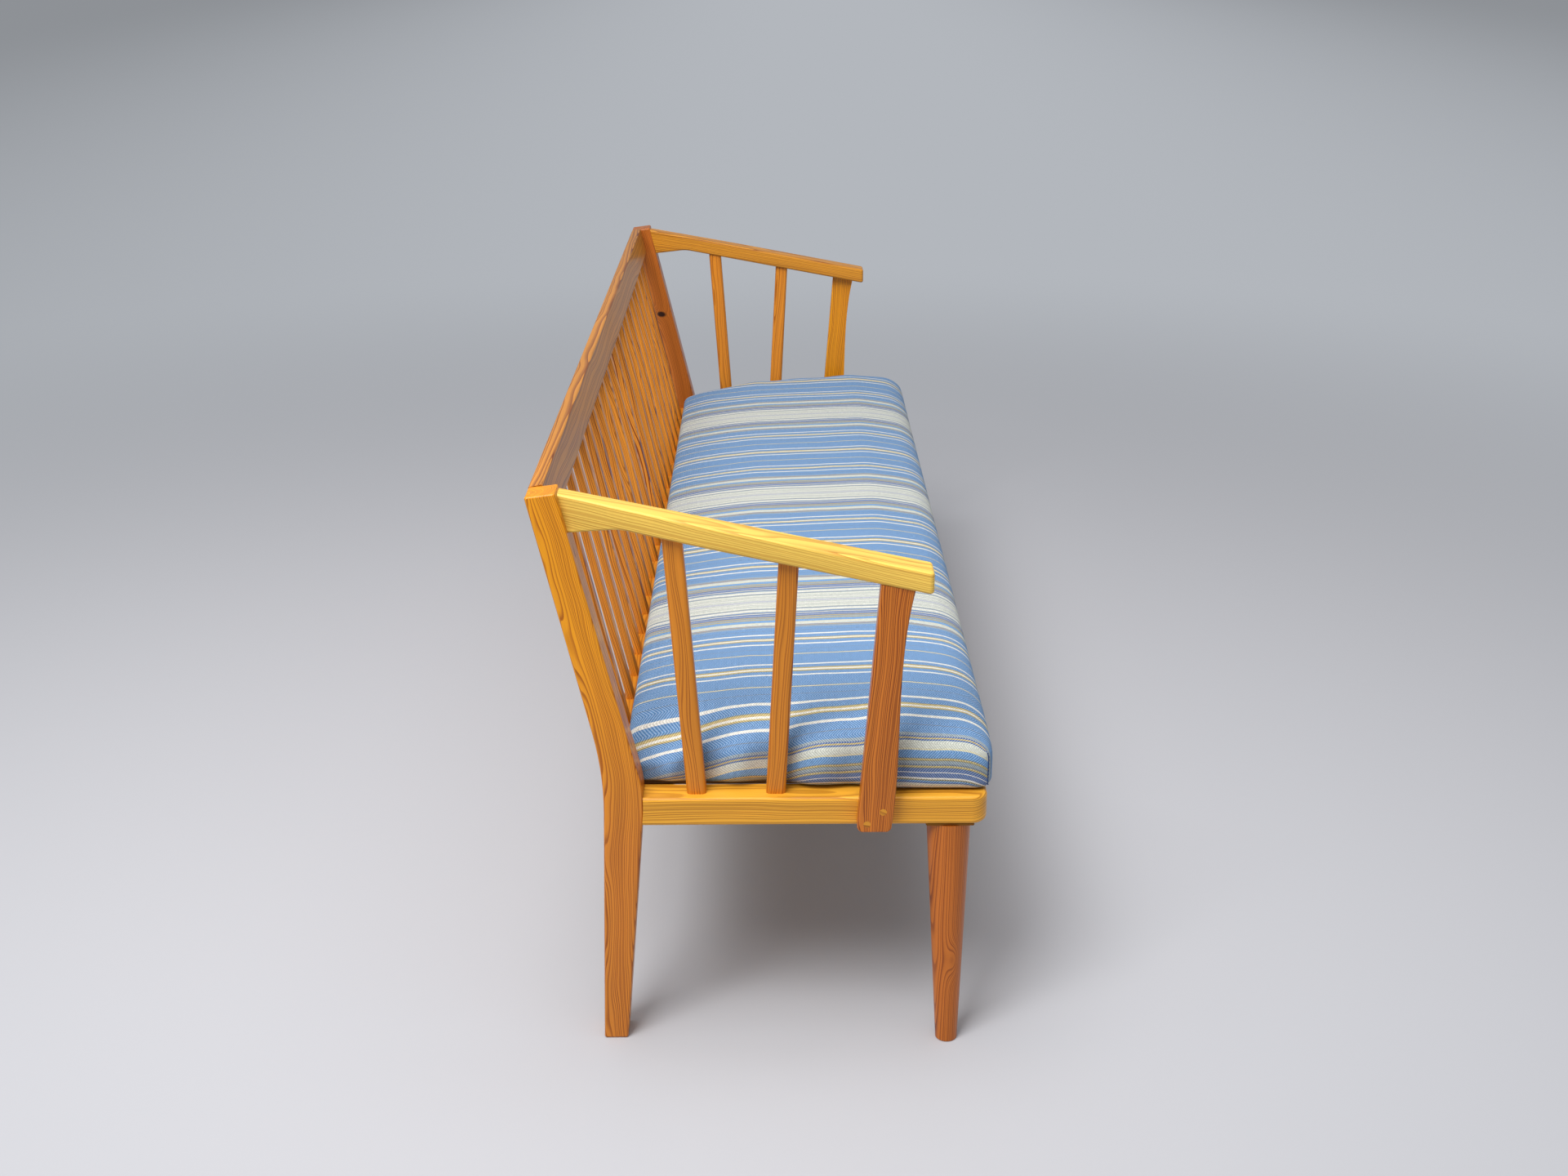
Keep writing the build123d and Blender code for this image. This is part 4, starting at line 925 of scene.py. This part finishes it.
@dataclass(frozen=True)
class Cushion:
    """The loose seat cushion: a stuffed cover with sewn corners."""

    # a quad of the cover, and the radius of its edges in front, at the back and underneath
    quad: float = 11 * MM
    edge: float = 26 * MM
    back_edge: float = 14 * MM
    low_edge: float = 7 * MM
    # the top's height at places behind the front, in millimetres
    top: tuple[Span, ...] = ((0, 74), (37, 88), (118, 95), (333, 87), (453, 75), (489.5, 66))
    # where the cushion grows narrower towards the back: start, run and depth, in millimetres
    waist: tuple[Place, ...] = ((130, 70, 12), (250, 50, 12), (360, 100, 8))
    # the ends come down over this length by this much, left and right, and this roundly
    end_run: float = 150 * MM
    end_drop: Span = (27 * MM, 12 * MM)
    roundness: float = 0.9
    # how far the back corners sink, where that starts behind the front, and its run
    corner_droop: float = 22 * MM
    corner_from: Span = (330 * MM, 160 * MM)
    # the back bulges over the rail: how far, from where, how near the ends and how steeply
    back_bulge: float = 11 * MM
    bulge_from: Span = (430 * MM, 55 * MM)
    bulge_ends: Span = (36 * MM, 30 * MM)
    bulge_rise: float = 12 * MM
    rail_top: float = 19 * MM
    # the ends bulge out through the gaps between the posts and spindles, which lie at these Y
    bulge: float = 12 * MM
    gaps: tuple[Span, ...] = ((-0.115, -0.02), (0.008, 0.084), (0.113, 0.165))
    middle_y: float = -0.0583
    end_zone: float = 120 * MM
    # the stripes near an end: how taut, how far drawn towards it, how slanted and from where
    ease: float = 0.9
    pull: float = 26 * MM
    skew: float = 0.04
    skew_start: float = -0.1
    skew_run: float = 0.16
    # the most that the filling moves a point, and how far the front hangs past its box
    cap: float = 6 * MM
    hem: float = 2 * MM

    # settings of the cloth simulation, and how long it runs
    FILLING = {
        "quality": 4,
        "mass": 0.3,
        "tension_stiffness": 20,
        "compression_stiffness": 20,
        "bending_stiffness": 0.5,
        "use_pressure": True,
        "uniform_pressure_force": 4,
    }
    FRAMES = 20

    def build(self) -> bpy.types.Object:
        """Make the cover and what goes with it.

        Returns:
            The cover.
        """
        low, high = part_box("cushion_cover")
        half = (Vector(high) - Vector(low)) / 2
        middle = (Vector(high) + Vector(low)) / 2
        cover, corners = self.lattice("cushion_cover_cloth", half, middle)
        self.fill(cover)
        self.settle(cover, low, high[1])
        for corner, numbers in corners.items():
            line = [cover.data.vertices[number].co.copy() for number in numbers]
            CornerSeam(f"cushion_seam_{corner}", line[1:-1]).build()
        self.refine(cover)
        fabric = StripedTwill("yarn_dyed_cotton_twill", HALF_REPEAT, first=-481 * MM)
        cover.data.materials.append(fabric.material())
        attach(cover, "cushion")
        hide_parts("cushion_cover", "cushion_core")
        log.info("made %s with %d faces", cover.name, len(cover.data.polygons))
        return cover

    def top_height(self, y: float) -> float:
        """Give the height of the top, before the ends come down.

        Args:
            y: Metres behind the front.

        Returns:
            Metres above the underside.
        """
        points = [(place * MM, height * MM) for place, height in self.top]
        for (start, low), (end, high) in zip(points, points[1:]):
            if y <= end:
                share = min(max((y - start) / (end - start), 0.0), 1.0)
                return low + (high - low) * share
        return points[-1][1]

    def lattice(
        self, name: str, half: Vector, middle: Vector
    ) -> tuple[bpy.types.Object, dict[str, list[int]]]:
        """Make the unstuffed cover as a rounded box of even quads.

        Args:
            name: Name of the object.
            half: Half of the cushion's size.
            middle: Its middle.

        Returns:
            The cover with its weave's UV map, and the vertices down each upright corner.
        """
        counts = tuple(max(round(2 * side / self.quad), 6) for side in half)
        seen: dict[tuple[int, ...], int] = {}
        points: list[Vector] = []
        faces: list[list[int]] = []
        weave: list[Span] = []

        def place(key: tuple[int, ...]) -> Vector:
            """Where a lattice point lies on the rounded form."""
            flat = Vector([(2 * k / n - 1) * side for k, n, side in zip(key, counts, half)])
            return self.shape(flat, half)

        cloth = self.cloth_lengths(counts, place)
        for axis in range(3):
            one, two = [a for a in range(3) if a != axis]
            for at_end in (0, 1):
                for i in range(counts[one]):
                    for j in range(counts[two]):
                        ring = [(i, j), (i + 1, j), (i + 1, j + 1), (i, j + 1)]
                        if (axis == 1) == bool(at_end):
                            ring.reverse()
                        face = []
                        for a, b in ring:
                            spot = [0, 0, 0]
                            spot[axis], spot[one], spot[two] = at_end * counts[axis], a, b
                            key = tuple(spot)
                            if key not in seen:
                                seen[key] = len(points)
                                points.append(place(key) + middle)
                            face.append(seen[key])
                            weave.append(self.on_cloth(key, axis, counts, half, cloth))
                        faces.append(face)
        cover = put_mesh(name, points, faces=faces)
        layer = cover.data.uv_layers.new(name="weave")
        for number, spot in enumerate(weave):
            layer.data[number].uv = spot
        cover.data.update()
        wide, deep, tall = counts
        corners = {
            f"{side}_{end}": [seen[(x * wide, y * deep, k)] for k in range(tall + 1)]
            for side, x in (("left", 0), ("right", 1))
            for end, y in (("front", 0), ("back", 1))
        }
        return cover, corners

    def cloth_lengths(
        self, counts: tuple[int, ...], place: Callable[[tuple[int, ...]], Vector]
    ) -> dict[tuple[int, int, int], float]:
        """Measure the cloth from the middle of the bench, over the top and down the ends.

        Args:
            counts: Quads along each side of the lattice.
            place: Gives the place of a lattice point.

        Returns:
            The length at each point of the top and of the ends.
        """
        lengths = {}
        for j in range(counts[1] + 1):
            for step, last in ((-1, 0), (1, counts[0])):
                start = counts[0] // 2
                across = [(i, j, counts[2]) for i in range(start, last + step, step)]
                down = [(last, j, k) for k in range(counts[2] - 1, -1, -1)]
                here = place(across[0])
                length = here.x
                for key in across + down:
                    spot = place(key)
                    run = (spot - here).length
                    length += step * run * (1.0 if key[2] == counts[2] else self.ease)
                    lengths[key] = length
                    here = spot
        return lengths

    def on_cloth(
        self,
        key: tuple[int, ...],
        axis: int,
        counts: tuple[int, ...],
        half: Vector,
        cloth: dict[tuple[int, int, int], float],
    ) -> Span:
        """Find a lattice point's place on the cloth.

        Args:
            key: The lattice point.
            axis: Which way its face looks: 0 an end, 1 the front or back, 2 top or bottom.
            counts: Quads along each side of the lattice.
            half: Half of the cushion's size.
            cloth: Lengths of the cloth along the top and down the ends.

        Returns:
            Metres along the bench and across it, on the cloth.
        """
        across = (2 * key[1] / counts[1] - 1) * half.y
        down = (1 - key[2] / counts[2]) * 2 * half.z
        ahead = (1 - abs(2 * key[0] / counts[0] - 1)) * half.x / self.skew_run
        drawn = (self.pull + self.skew * max(across - self.skew_start, 0.0)) * (1 - smooth(ahead))
        drawn = math.copysign(drawn, key[0] / counts[0] - 0.5)
        if axis == 0:
            return (cloth[key] - drawn, across)
        along = cloth[(key[0], key[1], counts[2])] - drawn
        if axis == 1:
            return (along, math.copysign(half.y + down, across))
        return (along, across)

    def shape(self, flat: Vector, half: Vector) -> Vector:
        """Round and crown a point of the plain box.

        Args:
            flat: The point, from the box's middle.
            half: Half of the box's size.

        Returns:
            The point on the cushion, from the box's middle.
        """
        edge = self.edge + (self.back_edge - self.edge) * smooth(flat.y / half.y)
        rise = edge if flat.z > 0 else self.low_edge
        core = Vector(
            [min(max(c, e - h), h - e) for c, h, e in zip(flat, half, (edge, edge, rise))]
        )
        squash = Vector((1, 1, edge / rise))
        out = ((flat - core) * squash).normalized() * edge
        point = core + Vector((out.x, out.y, out.z * rise / edge))
        behind = point.y + half.y
        height = self.top_height(behind)
        reach = max(abs(point.x) - (half.x - self.end_run), 0.0) / self.end_run
        drop = self.end_drop[point.x > 0]
        height -= drop * (1 - math.sqrt(1 - self.roundness * min(reach, 1.0) ** 2))
        corner = smooth((behind - self.corner_from[0]) / self.corner_from[1])
        height -= self.corner_droop * smooth(reach) * corner
        share = (point.z + half.z) / (2 * half.z)
        point.z = -half.z + share * height
        # narrower beside the spindles than in front of them
        inward = 0.0
        for start, run, depth in self.waist:
            inward += smooth((behind - start * MM) / (run * MM)) * depth * MM
        level = 1 - abs(2 * share - 1) ** 3
        for start, end in self.gaps:
            if start < flat.y + self.middle_y < end:
                out = math.sin(math.pi * (flat.y + self.middle_y - start) / (end - start))
                inward -= self.bulge * out * out * level
        near_end = smooth((abs(point.x) - half.x + self.end_zone) / self.end_zone)
        point.x -= math.copysign(inward * near_end, point.x)
        # over the rear rail, up to the slats
        back = smooth((behind - self.bulge_from[0]) / self.bulge_from[1])
        back *= smooth((half.x - self.bulge_ends[0] - abs(point.x)) / self.bulge_ends[1])
        above = smooth((point.z + half.z - self.rail_top) / self.bulge_rise)
        point.y += self.back_bulge * back * above
        return point

    def fill(self, cover: bpy.types.Object) -> None:
        """Blow the cover up a little with a cloth simulation, as its filling does.

        Args:
            cover: The unstuffed cover, which is changed in place.
        """
        start = [vertex.co.copy() for vertex in cover.data.vertices]
        cloth = cover.modifiers.new("Cloth", "CLOTH")
        for key, value in self.FILLING.items():
            setattr(cloth.settings, key, value)
        cloth.settings.effector_weights.gravity = 0
        cloth.point_cache.frame_start = 1
        cloth.point_cache.frame_end = self.FRAMES
        scene = bpy.context.scene
        for number in range(1, self.FRAMES + 1):
            scene.frame_set(number)
        graph = bpy.context.evaluated_depsgraph_get()
        blown = [v.co.copy() for v in cover.evaluated_get(graph).data.vertices]
        cover.modifiers.remove(cloth)
        scene.frame_set(1)
        for vertex, before, after in zip(cover.data.vertices, start, blown):
            move = after - before
            if move.length > self.cap:
                move = move.normalized() * self.cap
            vertex.co = before + move
        cover.data.update()

    def settle(self, cover: bpy.types.Object, low: Place, back: float) -> None:
        """Lay the cushion flat on the rails and keep it clear of the wood around it.

        Args:
            cover: The stuffed cover, which is changed in place.
            low: Lowest corner of the cushion's box.
            back: Y of the box's back.
        """
        for vertex in cover.data.vertices:
            point = vertex.co
            point.z = max(point.z, low[2])
            above = point.z > low[2] + self.rail_top
            limit = back + (self.back_bulge if above else 0.0)
            point.y = min(max(point.y, low[1] - self.hem), limit)
        cover.data.update()

    def refine(self, cover: bpy.types.Object) -> None:
        """Subdivide the cover once, for smooth rounding.

        Args:
            cover: The cover, which is changed in place.
        """
        finer = cover.modifiers.new("Finer", "SUBSURF")
        finer.levels = finer.render_levels = 1
        make_plain(cover, finer, layers=True)


# ------------------------------------------------------------------ studio
@dataclass(frozen=True)
class PaintedFloor(Finish):
    """Matt floor paint that turns, with the distance, into a glowing grey backdrop: painted light,
    with painted shade towards its sides.
    """

    paint: str = "#c1c1c5"
    backdrop: str = "#b3b7bd"
    # metres from the middle where the paint starts to turn, and where it has turned
    near: float = 1.0
    far: float = 4.6
    # painted shade: the glowing backdrop darkens to this level towards its sides, and lightens
    # again in the haze
    shift: float = 0.8
    edge: Span = (0.5, 9.5)
    painted_side_shade_level: float = 0.6
    haze: Span = (14.0, 50.0)

    def shader(self, tree: Tree) -> Source:
        """Lay out the nodes of the floor.

        Args:
            tree: The material's nodes.

        Returns:
            The shader.
        """
        here = add(tree, "ShaderNodeTexCoord").outputs["Object"]
        parts = add(tree, "ShaderNodeSeparateXYZ", {0: here}).outputs
        away = add(tree, VECTOR, {0: here}, operation="LENGTH").outputs["Value"]
        shifted = add(tree, MATH, {0: parts["Y"], 1: self.shift}, operation="ADD")
        aside = add(tree, MATH, {0: shifted}, operation="ABSOLUTE")
        share = add(
            tree,
            MAP,
            {"Value": away, "From Min": self.near, "From Max": self.far},
            interpolation_type="SMOOTHSTEP",
        )
        level: Source | float = 1.0
        for reach, last in ((self.edge, self.painted_side_shade_level), (self.haze, 1.0)):
            limits = {"From Min": reach[0], "From Max": reach[1], "To Min": level, "To Max": last}
            level = add(tree, MAP, {"Value": aside, **limits}, interpolation_type="SMOOTHSTEP")
        shade = {0: linear(self.backdrop)[:3], "Scale": level}
        far = add(tree, VECTOR, shade, operation="SCALE")
        paint = add(
            tree,
            PRINCIPLED,
            {"Base Color": linear(self.paint), "Roughness": 0.9, "Specular IOR Level": 0.1},
        )
        # the far floor glows as painted light, in the backdrop's grey with painted shade at its
        # sides
        painted_backdrop_glow = add(tree, "ShaderNodeEmission", {0: far})
        return add(tree, "ShaderNodeMixShader", {0: share, 1: paint, 2: painted_backdrop_glow})


@dataclass(frozen=True)
class Studio:
    """Pale floor, soft lamps and the camera."""

    floor_size: float = 120.0
    lens: float = 41.41
    camera_at: Place = (-3.0751, -0.0097, 1.5023)
    pitch: float = math.radians(21.289)
    yaw: float = math.radians(-0.273)
    roll: float = math.radians(-0.222)

    def build(self) -> None:
        """Set up everything that isn't the bench."""
        scene = bpy.context.scene
        scene.view_settings.view_transform = "Standard"
        self.floor()
        self.world()
        self.lamp("key_softbox", (-3.0, 1.6, 4.4), (0.0, 0.0, 0.3), 2.2, 180)
        self.lamp("top_softbox", (-0.9, 0.2, 3.4), (-0.6, 0.0, 0.3), 2.4, 60)
        self.camera()

    def floor(self) -> None:
        """Lay the floor, pale around the bench and, far away, a grey glow of painted light with
        painted shade at its sides.
        """
        side = self.floor_size / 2
        corners = [(-side, -side, 0), (side, -side, 0), (side, side, 0), (-side, side, 0)]
        floor = put_mesh("studio_floor", corners, faces=[(0, 1, 2, 3)])
        floor.data.materials.append(PaintedFloor("painted_floor").material())

    def world(self) -> None:
        """Set the even light from all sides."""
        world = bpy.data.worlds.new("studio_air")
        world.use_nodes = True
        tree = world.node_tree
        tree.nodes.clear()
        seen = add(tree, "ShaderNodeLightPath").outputs["Is Camera Ray"]
        light = add(tree, "ShaderNodeBackground", {0: linear("#f2f5fa"), 1: 0.38})
        back = add(tree, "ShaderNodeBackground", {0: linear("#aeb3ba"), 1: 1.0})
        mixed = add(tree, "ShaderNodeMixShader", {0: seen, 1: light, 2: back})
        add(tree, "ShaderNodeOutputWorld", {0: mixed})
        bpy.context.scene.world = world

    def lamp(self, name: str, place: Place, target: Place, size: float, power: float) -> None:
        """Hang a square softbox.

        Args:
            name: Name of the lamp.
            place: Where it hangs, in metres.
            target: What it points at.
            size: Side of the square, in metres.
            power: Its power in watts.
        """
        data = bpy.data.lights.new(name, "AREA")
        data.size = size
        data.energy = power
        turn = (Vector(target) - Vector(place)).to_track_quat("-Z", "Y").to_matrix().to_4x4()
        put(name, data).matrix_world = Matrix.Translation(place) @ turn

    def camera(self) -> None:
        """Place the camera, low over the near end and looking along the bench."""
        data = bpy.data.cameras.new("camera")
        data.sensor_width = 36
        data.lens = self.lens
        camera = put("camera", data)
        flat, drop = math.cos(self.pitch), math.sin(self.pitch)
        ahead = Vector((flat * math.cos(self.yaw), flat * math.sin(self.yaw), -drop))
        right = ahead.cross(Vector((0, 0, 1))).normalized()
        up = right.cross(ahead)
        tilt, level = math.sin(self.roll), math.cos(self.roll)
        across = level * right + tilt * up
        upward = level * up - tilt * right
        turn = Matrix((across, upward, -ahead)).transposed().to_4x4()
        camera.matrix_world = Matrix.Translation(self.camera_at) @ turn
        bpy.context.scene.camera = camera


def main() -> None:
    """Build and dress the bench, piece by piece."""
    logging.basicConfig(level=logging.INFO, format="%(message)s")
    RearFrame().dress()
    OpenEnd("left", -1, PineTone.HONEY, PineTone.CARAMEL).dress()
    OpenEnd("right", 1, PineTone.TOFFEE, PineTone.AMBER).dress()
    Seat().dress()
    Cushion().build()
    Studio().build()


if __name__ == "__main__":
    main()
